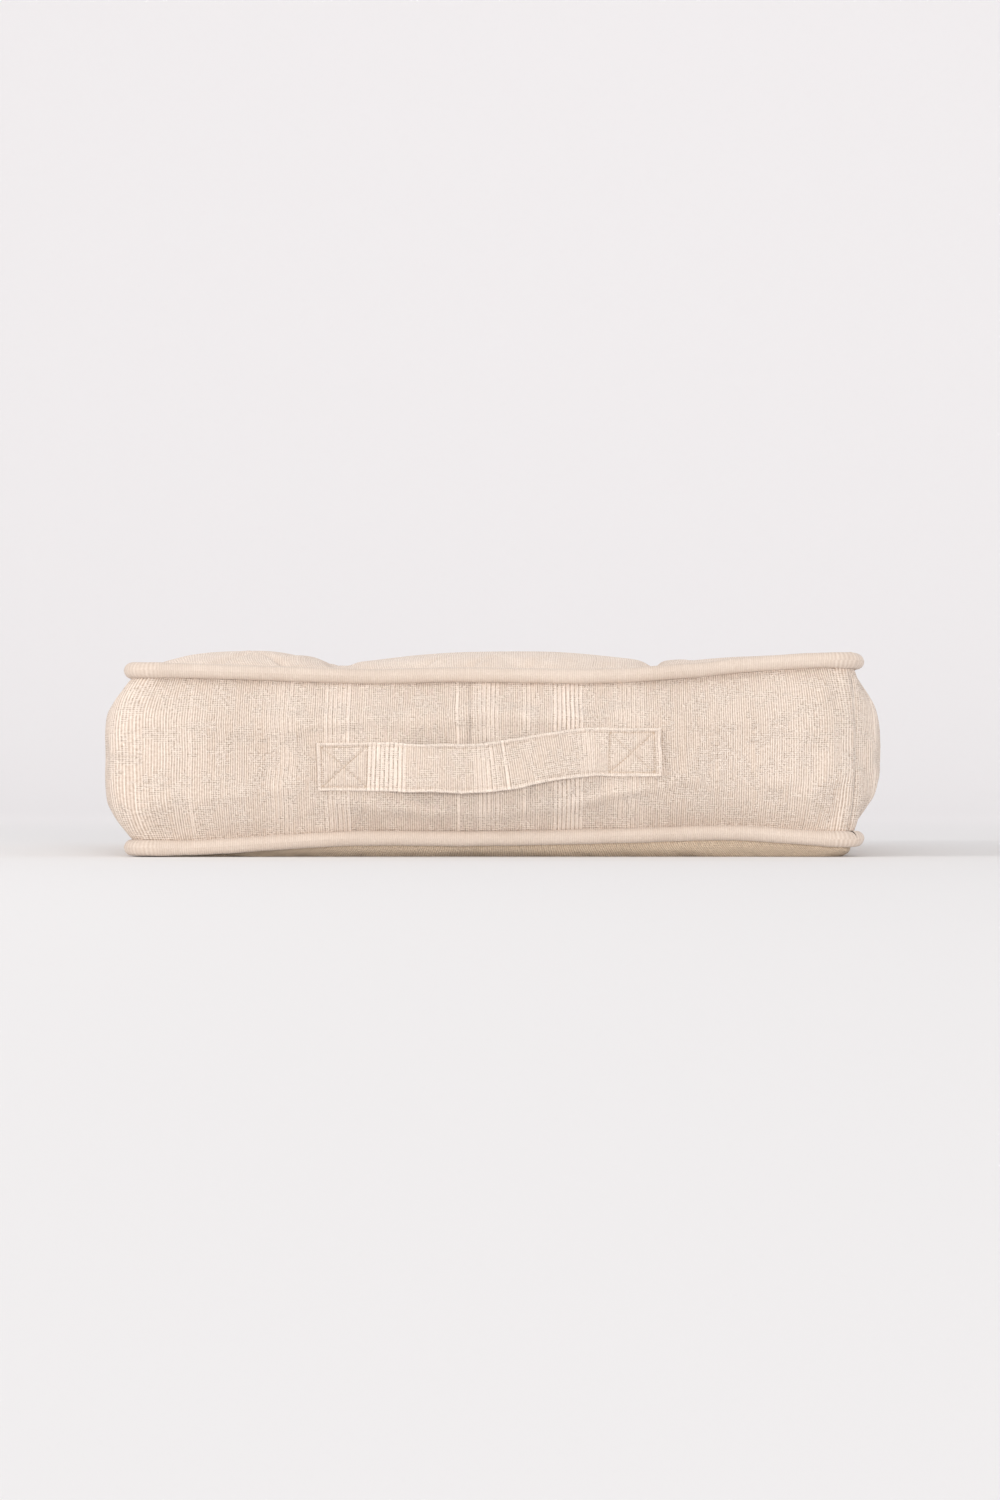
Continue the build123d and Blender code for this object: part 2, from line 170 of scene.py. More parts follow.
class CushionStage(bpy.types.PropertyGroup):
    """The floor, the light and the camera"""

    distance: length("Distance", 3.0, "From the front welt to the camera")
    height: length("Height", 0.064, "Of the camera over the floor")
    lens: share("Lens", 87.2, "Focal length in millimetres")
    tilt: share("Tilt", 0.46, "Of the camera above the level, in degrees")
    key: share("Key light", 37.0, "Power of the soft light on the left, in watts")
    fill: share("Front light", 255.0, "Power of the wide light behind the camera, in watts")
    sky: share("Sky", 0.80, "Strength of the even light from all round")


def shape():
    """The sizes of the stuffed cover, as they are set."""
    return bpy.context.scene.cushion_shape


def cloth():
    """The cover's cloth, as it is set."""
    return bpy.context.scene.cushion_cloth


# ---- lines round the cushion ----
def smooth(x):
    """0 below 0, 1 above 1, and level at both ends."""
    x = min(max(x, 0.0), 1.0)
    return x * x * (3 - 2 * x)


def around(s, radius=None, half=SEAM):
    """The point at fraction s of the way round a rounded square, and its outward normal."""
    radius = radius or shape().corner
    straight = half - radius
    bend = radius * math.pi / 4  # length of half a corner
    quarter = 2 * bend + 2 * straight
    side = int(s * 4 // 1) % 4
    run = (s * 4 % 1) * quarter
    if run < bend:
        turn = math.pi / 4 - run / radius
        along, out = straight + radius * math.sin(turn), straight + radius * math.cos(turn)
    elif run < bend + 2 * straight:
        turn = 0.0
        along, out = straight - (run - bend), half
    else:
        turn = -(run - bend - 2 * straight) / radius
        along, out = -straight + radius * math.sin(turn), straight + radius * math.cos(turn)
    turned = Matrix.Rotation(-side * math.pi / 2, 2)
    return turned @ Vector((along, -out)), turned @ Vector((math.sin(turn), -math.cos(turn)))


def girth():
    """The length of the seam line."""
    radius = shape().corner
    return 8 * (SEAM - radius) + 2 * math.pi * radius


def wave(keys, s):
    """A smooth closed curve through keys of (fraction round, millimetres), in metres."""
    s %= 1.0
    last = max(i for i, key in enumerate(keys) if key[0] <= s)
    n = len(keys)
    near = [(keys[(last + i) % n][0] + (last + i) // n, keys[(last + i) % n][1]) for i in (-1, 0, 1, 2)]
    (x0, y0), (x1, y1), (x2, y2), (x3, y3) = near
    t = (s - x1) / (x2 - x1)
    slope_1 = (y2 - y0) / (x2 - x0) * (x2 - x1)
    slope_2 = (y3 - y1) / (x3 - x1) * (x2 - x1)
    value = (
        y1 * (2 * t**3 - 3 * t**2 + 1)
        + slope_1 * (t**3 - 2 * t**2 + t)
        + y2 * (3 * t**2 - 2 * t**3)
        + slope_2 * (t**3 - t**2)
    )
    return value / 1000


def seam_point(s, level, outward=0.0, up=0.0):
    """A point by the top (1) or bottom (0) seam, moved outward and up from it."""
    point, normal = around(s)
    side = s * 4 % 1
    outward -= shape().pull_in * math.sin(math.pi * side) ** 2
    outward += shape().ear * math.exp(-((min(side, 1 - side) / 0.035) ** 2))
    point = point + normal * outward
    rise = wave(TOP_RISE, s) + TOP_Z if level else wave(BOTTOM_RISE, s) + BOTTOM_Z
    return Vector((point.x, point.y, rise + up))


# ---- making meshes ----
def finish_piece(obj, replaced=(), body="cushion", material=None):
    """Rides and colours a piece, and hides the CAD parts that it replaces."""
    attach(obj, body)
    if replaced:
        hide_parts(*replaced)
    if material:
        obj.data.materials.clear()
        obj.data.materials.append(material)
    return obj


def new_object(name, bm):
    """Makes the bmesh into a smooth-shaded object, and frees it."""
    mesh = bpy.data.meshes.new(name)
    bm.to_mesh(mesh)
    bm.free()
    obj = bpy.data.objects.new(name, mesh)
    bpy.context.scene.collection.objects.link(obj)
    mesh.shade_smooth()
    return obj


TOUCHING = 1e-6  # vertices nearer than this are one


def woven_grid(across, up, size, place, closed=(False, False)):
    """A grid of cloth. place maps (0..1, 0..1) to its point, and size is its flat size.

    closed joins its opposite edges, across and up.
    """
    bm = bmesh.new()
    bmesh.ops.create_grid(bm, x_segments=across, y_segments=up, size=0.5)
    layer = bm.loops.layers.uv.new("cloth")
    flat = bm.verts.layers.float_vector.new("flat")
    for vert in bm.verts:
        vert[flat] = (vert.co.x + 0.5, vert.co.y + 0.5, 0)
    for face in bm.faces:
        for loop in face.loops:
            u, v, _ = loop.vert[flat]
            loop[layer].uv = (u * size[0], v * size[1])
    for vert in bm.verts:
        vert.co = place(vert[flat].x, vert[flat].y)
    if any(closed):
        rims = [
            v
            for v in bm.verts
            if (closed[0] and min(v[flat].x, 1 - v[flat].x) < TOUCHING)
            or (closed[1] and min(v[flat].y, 1 - v[flat].y) < TOUCHING)
        ]
        bmesh.ops.remove_doubles(bm, verts=rims, dist=TOUCHING)
    return bm


def face_outward(bm, outward):
    """Turns every face to the side that outward(centre) points to."""
    face = max(bm.faces, key=lambda f: f.calc_area())
    if face.normal.dot(outward(face.calc_center_median())) < 0:
        bmesh.ops.reverse_faces(bm, faces=bm.faces)
    bm.normal_update()


FILLING_STEPS = 18
OVERSHOOT = 0.15  # the share of the cap by which the fullest places pass it


def settle(obj, held, cap, slack=None):
    """Fills a panel: held at its seams, the cloth swells and gathers, and is then kept."""
    scene = bpy.context.scene
    home = [vert.co.copy() for vert in obj.data.vertices]
    group = obj.vertex_groups.new(name="held")
    for index, weight in held.items():
        group.add([index], weight, "REPLACE")
    modifier = obj.modifiers.new("filling", "CLOTH")
    modifier.point_cache.frame_start, modifier.point_cache.frame_end = 1, FILLING_STEPS
    rules = modifier.settings
    rules.quality = 6
    rules.mass = 0.2
    rules.tension_stiffness = rules.compression_stiffness = 25
    rules.shear_stiffness = 10
    rules.bending_stiffness = 0.25
    rules.air_damping = 3
    rules.vertex_group_mass = "held"
    rules.shrink_min = -(shape().slack if slack is None else slack)
    rules.use_pressure = True
    rules.use_pressure_volume = True
    rules.target_volume = 0
    rules.uniform_pressure_force = shape().pressure
    rules.effector_weights.gravity = 0
    modifier.collision_settings.use_collision = False
    for step in range(1, FILLING_STEPS + 1):
        scene.frame_set(step)
    filled = obj.evaluated_get(bpy.context.evaluated_depsgraph_get())
    moved = [vert.co.copy() for vert in filled.data.vertices]
    obj.modifiers.remove(modifier)
    obj.vertex_groups.remove(group)
    scene.frame_set(1)
    for vert, start, end in zip(obj.data.vertices, home, moved):
        step = end - start
        if step.length > cap:
            step *= cap / step.length * (1 + OVERSHOOT * math.tanh(step.length / cap - 1))
        vert.co = start + step
    obj.data.update()


def flat_place(obj):
    """Where each vertex is in its panel, from 0 to 1 both ways."""
    return [Vector(item.vector) for item in obj.data.attributes["flat"].data]


def adjust(obj, move):
    """Moves each vertex: move(point, flat place, normal) gives its new point."""
    places = flat_place(obj)
    normals = [vert.normal.copy() for vert in obj.data.vertices]
    for vert, place, normal in zip(obj.data.vertices, places, normals):
        vert.co = move(vert.co.copy(), place, normal)
    obj.data.update()


def keep_above(obj, lowest):
    """Lifts to a height what lies lower, where the cushion stands on the floor."""
    adjust(obj, lambda point, place, normal: Vector((point.x, point.y, max(point.z, lowest))))


def refine(obj):
    """Rounds a panel off, with twice as many squares each way."""
    modifier = obj.modifiers.new("rounding", "SUBSURF")
    modifier.levels = modifier.render_levels = 1
    rounded = obj.evaluated_get(bpy.context.evaluated_depsgraph_get())
    mesh = bpy.data.meshes.new_from_object(rounded)
    obj.modifiers.clear()
    obj.data = mesh


def thicken(obj, thickness=COVER_THICK):
    """Gives a panel its cloth's thickness, inward."""
    modifier = obj.modifiers.new("thickness", "SOLIDIFY")
    modifier.thickness, modifier.offset = thickness, -1


def ripple(x, y, seed):
    """Smooth unevenness, about -1 to 1, the same each time for the same place."""
    return noise.fractal(Vector((x, y, seed)), 1.0, 2.0, 2)


# ---- materials ----
class Nodes:
    """A short way to write a material's node tree."""

    def __init__(self, name):
        self.material = bpy.data.materials.new(name)
        self.material.use_nodes = True
        self.tree = self.material.node_tree
        self.tree.nodes.clear()
        self.shader = self.node("ShaderNodeBsdfPrincipled")
        output = self.node("ShaderNodeOutputMaterial")
        self.link(self.shader.outputs["BSDF"], output.inputs["Surface"])

    def node(self, kind, **settings):
        made = self.tree.nodes.new(kind)
        for key, value in settings.items():
            setattr(made, key, value)
        return made

    def link(self, out, into):
        self.tree.links.new(out, into)

    def put(self, socket, value):
        if isinstance(value, bpy.types.NodeSocket):
            self.link(value, socket)
        else:
            socket.default_value = value

    def math(self, operation, a, b=0.0, clamp=False):
        made = self.node("ShaderNodeMath", operation=operation, use_clamp=clamp)
        self.put(made.inputs[0], a)
        self.put(made.inputs[1], b)
        return made.outputs[0]

    def vector(self, x=0.0, y=0.0, z=0.0):
        made = self.node("ShaderNodeCombineXYZ")
        for socket, value in zip(made.inputs, (x, y, z)):
            self.put(socket, value)
        return made.outputs[0]

    def noise(self, where, detail=2.0, roughness=0.5):
        made = self.node("ShaderNodeTexNoise")
        made.inputs["Scale"].default_value = 1.0
        made.inputs["Detail"].default_value = detail
        made.inputs["Roughness"].default_value = roughness
        self.link(where, made.inputs["Vector"])
        return made.outputs["Fac"]

    def ramp(self, value, low, high):
        """0 at low, 1 at high, smooth between."""
        made = self.node("ShaderNodeMapRange", interpolation_type="SMOOTHSTEP")
        self.put(made.inputs["Value"], value)
        made.inputs["From Min"].default_value, made.inputs["From Max"].default_value = low, high
        return made.outputs[0]

    def mix(self, share_of_second, first, second):
        made = self.node("ShaderNodeMix", data_type="RGBA")
        self.put(made.inputs[0], share_of_second)
        for socket, value in ((made.inputs[6], first), (made.inputs[7], second)):
            self.put(socket, value if isinstance(value, bpy.types.NodeSocket) else (*value, 1))
        return made.outputs[2]

    def bump(self, height, distance):
        made = self.node("ShaderNodeBump")
        made.inputs["Strength"].default_value = 1.0
        made.inputs["Distance"].default_value = distance
        self.link(height, made.inputs["Height"])
        self.link(made.outputs[0], self.shader.inputs["Normal"])

    def finish(self, roughness=0.9, **sockets):
        self.shader.inputs["Roughness"].default_value = roughness
        for name, value in sockets.items():
            self.shader.inputs[name.replace("_", " ")].default_value = value
        return self.material


UNTINTED = (1.0, 1.0, 1.0)


def slub_cotton(
    name, tone=1.0, tint=UNTINTED, open_weave=0.5, slub=1.0, relief=1.0, contrast=1.0, bands=(), hem=()
):
    """Slub cotton: ribs of uneven thread, blocks of open cross weave, and thick slubs.

    bands are stripes of heavier, paler ribs: (middle, half-width, strength), in metres
    across the ribs. hem is the size of a strip whose folded edges get a painted highlight.
    """
    made = Nodes(name)
    split = made.node("ShaderNodeSeparateXYZ")
    made.link(made.node("ShaderNodeUVMap", uv_map="cloth").outputs["UV"], split.inputs[0])
    across, along = split.outputs[0], split.outputs[1]
    add, times = partial(made.math, "ADD"), partial(made.math, "MULTIPLY")

    def at(kx, ky, seed=0.0):
        return made.vector(times(across, kx), times(along, ky), seed)

    # The threads wander by a few millimetres.
    x = add(across, times(made.noise(at(14, 14, 2.0)), 0.004))
    y = add(along, times(made.noise(at(30, 30, 5.0)), 0.002))
    ribs = made.math("SINE", times(x, 2 * math.pi / cloth().rib))
    picks = made.math("SINE", times(y, 2 * math.pi / cloth().pick))
    heavy = made.math("SINE", times(x, math.pi / cloth().rib))
    uneven = made.noise(at(560, 8, 1.0), detail=2)  # each rib's own weight, changing slowly
    weight = add(times(uneven, 1.9), -0.35, clamp=True)

    # Blocks of cross weave start and stop at whole threads.
    block_x = times(made.math("FLOOR", times(x, 1 / (2 * cloth().rib))), 0.23)
    block_y = times(made.math("FLOOR", times(y, 1 / (2 * cloth().pick))), 0.17)
    cell = made.vector(block_x, block_y, 7.0)
    opened = made.ramp(made.noise(cell, detail=3, roughness=0.7), 0.5, 0.53)
    opened = times(opened, open_weave)

    banded = 0.0
    for middle, half, strength in bands:
        away = made.math("ABSOLUTE", add(x, -middle))
        banded = add(banded, times(made.ramp(away, half + 0.0012, half - 0.0012), strength))
    thick = made.ramp(made.noise(at(62, 0.8, 11.0), detail=2), 0.63, 0.7)
    thick = add(times(thick, slub), banded, clamp=True)

    # The weave's height: ribs where it is close, a grid where it is open, and slubs over both.
    plain = times(times(ribs, 0.75), weight)
    grid = add(times(ribs, 0.35), times(picks, 0.35))
    height = add(times(plain, made.math("SUBTRACT", 1.0, opened)), times(grid, opened))
    height = add(height, times(times(heavy, 0.55), thick))
    speck = add(made.noise(at(520, 430, 3.0), detail=3, roughness=0.7), -0.5)  # fluff and nubs
    height = add(height, times(speck, add(times(opened, 1.4), 1.5)))
    made.bump(add(height, times(thick, 0.3)), cloth().relief * relief)

    light, dark = (
        tuple(c * tone * t for c, t in zip(shade, tint)) for shade in (cloth().light, cloth().dark)
    )
    # The colour follows the weave: the crests are pale and the hollows dark, partly the threads' own
    # uneven weight and partly painted shade and highlight from the weave's height, with slow changes of
    # colour over the cloth.
    blotch = add(made.noise(at(11, 8, 9.0), detail=4), -0.5)
    thread_weight_and_shade = add(times(add(uneven, -0.5), 0.6), times(height, 0.62))
    crest = add(times(thread_weight_and_shade, contrast), times(blotch, 0.35))
    base = made.mix(add(add(crest, times(opened, 0.1)), 0.62, clamp=True), dark, light)
    pale = tuple(min(1.0, c * 1.07) for c in light)
    # The slubs are paler yarn, and paler still on their crests as a painted highlight.
    base = made.mix(times(thick, times(add(height, 1.0, clamp=True), 0.65)), base, pale)
    # Painted highlight: the strip's folded edges are painted paler, flecked by the fluff, where light
    # catches them.
    if hem:
        gaps = [
            made.math("SUBTRACT", size / 2, made.math("ABSOLUTE", add(place, -size / 2)))
            for place, size in zip((across, along), hem)
        ]
        painted_edge_highlight = made.ramp(made.math("MINIMUM", *gaps), 0.0030, 0.0016)
        painted_edge_highlight = times(painted_edge_highlight, add(times(speck, 1.6), 0.55, clamp=True))
        base = made.mix(painted_edge_highlight, base, pale)
    made.link(base, made.shader.inputs["Base Color"])
    return made.finish(0.92, Sheen_Weight=0.2, Sheen_Roughness=0.5, Specular_IOR_Level=0.2)


def spun(name, tint, scale=1400.0, relief=0.0002, roughness=0.8, **sockets):
    """Thread, tape, cord or fibre: a plain tint with fine uneven twist."""
    made = Nodes(name)
    where = made.node("ShaderNodeTexCoord").outputs["Object"]
    grown = made.node("ShaderNodeVectorMath", operation="SCALE")
    made.link(where, grown.inputs[0])
    grown.inputs["Scale"].default_value = scale
    grain = made.noise(grown.outputs[0], detail=3)
    made.link(made.mix(grain, tuple(c * 0.8 for c in tint), tint), made.shader.inputs["Base Color"])
    made.bump(grain, relief)
    return made.finish(roughness, **sockets)


def ready_material(name, make):
    """The named material, made the first time that it is asked for."""
    return bpy.data.materials.get(name) or make(name)


# Stripes of heavier ribs: middle, half-width and strength. The boxing's are measured round
# the seam line from the front right corner, and the handle's from its left end.
BOXING_BANDS = (
    (0.407, 0.0014, 1.0), (0.319, 0.0013, 1.0), (0.229, 0.013, 0.85), (0.262, 0.005, 0.4),
    (0.294, 0.009, 0.5), (0.418, 0.010, 0.35), (0.462, 0.011, 0.25), (0.178, 0.014, 0.25),
    (0.535, 0.0009, 0.6), (0.63, 0.008, 0.5), (0.82, 0.004, 0.7),
    (1.22, 0.010, 0.6),
    (1.55, 0.004, 0.8), (1.78, 0.009, 0.6), (1.94, 0.002, 0.9), (2.10, 0.007, 0.6),
    (2.274, 0.004, 0.6),
)
HANDLE_BANDS = ((0.058, 0.016, 1.0), (0.157, 0.0018, 1.0), (0.140, 0.009, 0.6), (0.222, 0.007, 0.3))


def cover_cloth(kind):
    """The cover's cotton for each kind of piece. Its tones are painted light and shade: the top's is
    painted lighter, and the welts' and the underside's darker, the underside's also yellower.
    """
    recipes = {
        "boxing": dict(open_weave=0.95, slub=0.6, contrast=1.2, bands=BOXING_BANDS),
        # painted light: the top is painted a little lighter
        "top": dict(tone=1.03, open_weave=0.6, slub=0.4, relief=0.6, contrast=0.6),
        # painted shade: the underside is painted darker and yellower
        "underside": dict(tone=0.97, tint=(1.0, 0.95, 0.84), open_weave=0.6, slub=0.4, contrast=0.8),
        # painted shade: the welts are painted darker
        "welt": dict(tone=0.9, open_weave=0.3, slub=0.1, relief=0.4, contrast=0.4),
        # the handle's folded edges get a painted highlight
        "handle": dict(open_weave=1.0, slub=0.3, bands=HANDLE_BANDS, hem=(STRAP_LONG, STRAP_TALL)),
    }
    return ready_material(f"slub cotton {kind}", lambda name: slub_cotton(name, **recipes[kind]))


# ---- the cover ----
def panel_place(u, v):
    """A point of a square panel, (-1..1, -1..1), drawn in to the seam's rounded corners."""
    radius = shape().corner / SEAM
    edge = max(abs(u), abs(v), 1e-6)
    x, y = abs(u) / edge, abs(v) / edge  # where the ray meets the square
    corner_x, corner_y = x - (1 - radius), y - (1 - radius)
    pulled = 1.0
    if corner_x > 0 and corner_y > 0:
        # The ray's length to the corner's arc, against its length to the square.
        c, d = 1 - radius, x * x + y * y
        b = c * (x + y)
        pulled = (b + math.sqrt(max(b * b - d * (2 * c * c - radius * radius), 0))) / d
    return Vector((u, v)) * (1 + (pulled - 1) * edge**8)


def fraction_round(x, y):
    """How far round the seam line the ray through (x, y) meets it, from 0 to 1."""
    edge = max(abs(x), abs(y), 1e-9)
    near = edge - 1e-12
    if y <= -near:
        side, along = 0, -x
    elif x <= -near:
        side, along = 1, y
    elif y >= near:
        side, along = 2, x
    else:
        side, along = 3, -y
    return (side + (along / edge + 1) / 2) / 4


def panel_point(u, v, level, outward, up, inside):
    """A panel's point: inside(x, y, edge) is its height, and its rim is by the seam."""
    flat = panel_place(u, v)
    edge = max(abs(u), abs(v))
    s = fraction_round(u, v)
    rim = seam_point(s, level, outward, up)
    centre = Vector((flat.x * SEAM, flat.y * SEAM))
    blend = edge**6
    stretch = (SEAM + outward) / SEAM
    x = centre.x * stretch * (1 - blend) + rim.x * blend
    y = centre.y * stretch * (1 - blend) + rim.y * blend
    return Vector((x, y, inside(x, y, edge, rim.z)))


def tuft_pull(x, y, radius, power):
    """1 at a tuft, falling to 0 beyond radius, the more suddenly the higher the power."""
    away = min(math.hypot(x - tx, y - ty) for tx, ty in TUFTS.values())
    return math.exp(-((away / radius) ** power))


def top_height(x, y, edge, rim_z):
    """The stuffed top: nine pillows between the valleys that run through the tufts."""
    full_across = 1 - abs(x / SEAM) ** (5 if x > 0 else 8)  # the right side falls off sooner
    full_along = 1 - abs(y / SEAM) ** 6
    full = max(full_across * full_along, 0) ** 0.85
    crown = shape().crown * (1 + 0.10 * ripple(x * 7 + 3, y * 7, 4.2))
    crown *= 1 - 0.75 * smooth((x - 0.11) / 0.08)  # the right pillows are hardly crowned
    if abs(x) < TUFT:  # the middle ones are fullest a little right of the middle
        crown *= 0.84 + 0.16 * math.exp(-(((x - 0.035) / 0.08) ** 2))
    level = TOP_Z + (rim_z - TOP_Z) * edge**2
    width, power = (0.056, 2.0) if abs(x) < TUFT else (0.034, 2.6)
    across = math.exp(-(abs((abs(x) - TUFT) / width) ** power))
    along = math.exp(-(abs((abs(y) - TUFT) / 0.034) ** 2.6))
    valley = shape().valley * max(across, 0.75 * along) * (1 - edge**10)
    z = level + 0.003 * (1 - edge) + crown * full - valley * full
    floor = BUTTON_LOW.z - UNDER_BUTTON
    return z + (floor - z) * tuft_pull(x, y, 0.026, 2.6)


def foot_height(x, y, edge, rim_z):
    """The underside: flat on the floor, rounding up to the seam and in at the tufts."""
    inward = (1 - edge) * SEAM
    turn = max(0.0, 1 - inward / FOOT_INSET)
    z = rim_z * (1 - math.sqrt(max(0.0, 1 - turn**2)))
    hollow = FOOT_BUTTON_Z + UNDER_BUTTON
    return max(z, 0.0) + hollow * tuft_pull(x, y, 0.03, 2.4)


RIM_HELD = 0.002  # share of the panel's width
TUFT_HELD = 0.013


def held_at_rim(obj):
    """The vertices that stitching holds: the panel's rim, and a disc at each tuft."""
    held = {}
    for index, place in enumerate(flat_place(obj)):
        inward = min(place.x, place.y, 1 - place.x, 1 - place.y)
        point = obj.data.vertices[index].co
        away = min(math.hypot(point.x - x, point.y - y) for x, y in TUFTS.values())
        if inward < RIM_HELD or away < TUFT_HELD:
            held[index] = 1.0
    return held


def square_panel(name, level, height, direction):
    """A panel whose rim is tucked in beside the welt's tube."""
    outward, up = WELT_OUT * 0.55, WELT * 0.45 * direction.z
    cells = round(2 * SEAM / shape().cell)
    bm = woven_grid(
        cells,
        cells,
        (2 * SEAM, 2 * SEAM),
        lambda u, v: panel_point(2 * u - 1, 2 * v - 1, level, outward, up, height),
    )
    face_outward(bm, lambda centre: direction)
    return new_object(name, bm)


class CUSHION_OT_top_cover(bpy.types.Operator):
    """Make the crowned top panel, gathered at its seam and at four tufts"""

    bl_idname = "cushion.top_cover"
    bl_label = "Top cover"

    def execute(self, context):
        obj = square_panel("top_cover", 1, top_height, Vector((0, 0, 1)))
        settle(obj, held_at_rim(obj), cap=0.005, slack=0.022)
        refine(obj)
        adjust(obj, lambda point, place, normal: point + normal * line_folds(TOP_FOLDS, point.xy))
        thicken(obj)
        finish_piece(obj, ["top_panel"], material=cover_cloth("top"))
        return {"FINISHED"}


class CUSHION_OT_underside(bpy.types.Operator):
    """Make the bottom panel, flat where it stands and gathered at its seam"""

    bl_idname = "cushion.underside"
    bl_label = "Underside"

    def execute(self, context):
        obj = square_panel("underside_cover", 0, foot_height, Vector((0, 0, -1)))
        settle(obj, held_at_rim(obj), cap=0.003)
        refine(obj)
        keep_above(obj, 0.0)
        thicken(obj)
        finish_piece(obj, ["bottom_panel"], material=cover_cloth("underside"))
        return {"FINISHED"}


def eased(s, half, radius):
    """Where fraction s of the seam falls on a wider line, with the ease near the corners."""
    side = s * 4 // 1
    f = 2 * (s * 4 - side) - 1
    shorter = girth() / (8 * (half - radius) + 2 * math.pi * radius)
    return (side + (f * (shorter + (1 - shorter) * f**10) + 1) / 2) / 4


def boxing_point(s, v):
    """A point of the boxing, from the bottom seam (v 0) to the top one (v 1)."""
    inside = WELT_OUT * 0.5
    low = seam_point(s, 0, inside, WELT * 0.5)
    high = seam_point(s, 1, inside, -WELT * 0.5)
    _, normal = around(s)
    swell = shape().bulge + shape().side_bulge * abs(normal.x)
    half, radius = SEAM + swell, shape().round_off
    furthest, _ = around(eased(s, half, radius), radius, half)
    # Beside each corner seam the boxing is held in.
    seamed = max(math.exp(-(((s - at) / 0.009) ** 2)) for at in (0.0, 0.5, 0.75, 1.0))
    full = (1 - abs(2 * v - 1) ** 3.2) * (1 - 0.62 * seamed)
    point = low.lerp(high, v)
    return Vector((*point.xy.lerp(furthest, full), point.z))


def boxing_strip(name, start, end, low=0.0, high=1.0, place=boxing_point):
    """A strip of boxing from start to end of the way round, and from low to high up it."""
    wide = (end - start) * girth()
    tall = BOXING_TALL * (high - low)
    cell = shape().cell * 0.9
    bm = woven_grid(
        round(wide / cell),
        max(4, round(tall / cell)),
        (wide, tall),
        lambda u, v: place(start + (end - start) * u, low + (high - low) * v),
    )
    layer = bm.loops.layers.uv["cloth"]
    for face in bm.faces:
        for loop in face.loops:
            loop[layer].uv += Vector((start * girth(), low * BOXING_TALL))
    face_outward(bm, lambda centre: Vector((centre.x, centre.y, 0)))
    obj = new_object(name, bm)
    return obj, (wide, tall)


def held_strip(obj):
    """The vertices that stitching holds: all round the strip's rim."""
    places = enumerate(flat_place(obj))
    return {i: 1.0 for i, at in places if min(at.x, 1 - at.x, at.y, 1 - at.y) < 1e-4}


def pucker(obj, start, end, low=0.0, high=1.0):
    """Small gathers where the strip runs into its welts and corner seams."""
    long = (end - start) * girth()
    seam_reach, end_reach = 0.014, 0.012  # how soon the gathers fade

    def move(point, place, normal):
        run = place.x * long + start * 10
        height = (low + (high - low) * place.y) * BOXING_TALL
        near_seam = math.exp(-height / seam_reach) + math.exp(-(BOXING_TALL - height) / seam_reach)
        near_end = math.exp(-place.x * long / end_reach)
        near_end += math.exp(-(1 - place.x) * long / end_reach)
        gather = ripple(run * 90, height * 7, 1.7) * near_seam
        drag = ripple(run * 16, height * 60, 3.1) * near_end
        broad = ripple(run * 8, height * 6, 6.3)
        return point + normal * (0.0006 * gather + 0.0006 * drag + 0.0011 * broad)

    adjust(obj, move)


# Folds of the cloth, as lines from one point to another, with their width and how far
# they stand out, in millimetres. The front's are (x, z) and the top's are (x, y).
FRONT_FOLDS = (
    ((-19.5, 140), (-19, 92), 2.0, -2.6),
    ((-14.5, 141), (-14, 94), 3.2, 1.2),
    ((-27, 138), (-25, 96), 5.0, 0.7),
    ((-4, 52), (-5, 26), 4.0, -0.9),
    ((5, 54), (6, 24), 4.0, 0.8),
    ((29, 58), (27, 30), 3.0, -1.5),
    ((36, 60), (36, 28), 4.0, 1.1),
    ((46, 62), (44, 34), 3.0, -0.9),
    ((54, 128), (54, 108), 5.0, 0.6),
    ((286, 140), (205, 112), 7.0, 1.2),
    ((284, 128), (215, 92), 5.0, -0.8),
    ((288, 146), (240, 140), 5.0, 0.9),
    ((-262, 30), (-275, 62), 4.0, 0.8),
    ((-252, 28), (-262, 56), 3.0, -0.7),
    ((-150, 22), (-156, 44), 4.0, 0.5),
    ((120, 30), (126, 56), 5.0, -0.5),
)
TOP_FOLDS = (
    ((-140, -140), (-108, -288), 6.0, -2.2),
    ((-140, -140), (-170, -288), 7.0, 1.6),
    ((140, -140), (128, -288), 6.0, -2.0),
    ((140, -140), (160, -288), 7.0, 1.4),
    ((-64, -288), (-38, -246), 3.6, -3.4),
    ((-56, -288), (-30, -246), 4.0, 1.5),
    ((-24, -288), (4, -248), 3.4, -3.0),
    ((-16, -288), (12, -248), 4.0, 1.4),
    ((22, -288), (46, -252), 3.4, -2.6),
    ((-232, -288), (-208, -252), 3.6, -2.6),
    ((-170, -288), (-198, -240), 4.0, -3.2),
    ((-178, -288), (-206, -240), 4.0, 1.8),
    ((-140, 140), (-150, 286), 7.0, -2.0),
    ((140, 140), (128, 286), 7.0, -2.0),
    ((-140, 140), (-286, 152), 7.0, -2.0),
    ((140, 140), (286, 130), 7.0, -2.0),
    ((-140, -140), (-286, -128), 7.0, -2.0),
    ((140, -140), (286, -150), 7.0, -2.0),
    ((-140, -140), (-205, -205), 8.0, -1.4),
    ((140, -140), (196, -210), 8.0, -1.4),
    ((140, 140), (204, 198), 8.0, -1.4),
    ((-140, 140), (-210, 196), 8.0, -1.4),
)


FOLD_FADE = 0.3  # how far a fold runs on past its ends as it fades, as a share of its length


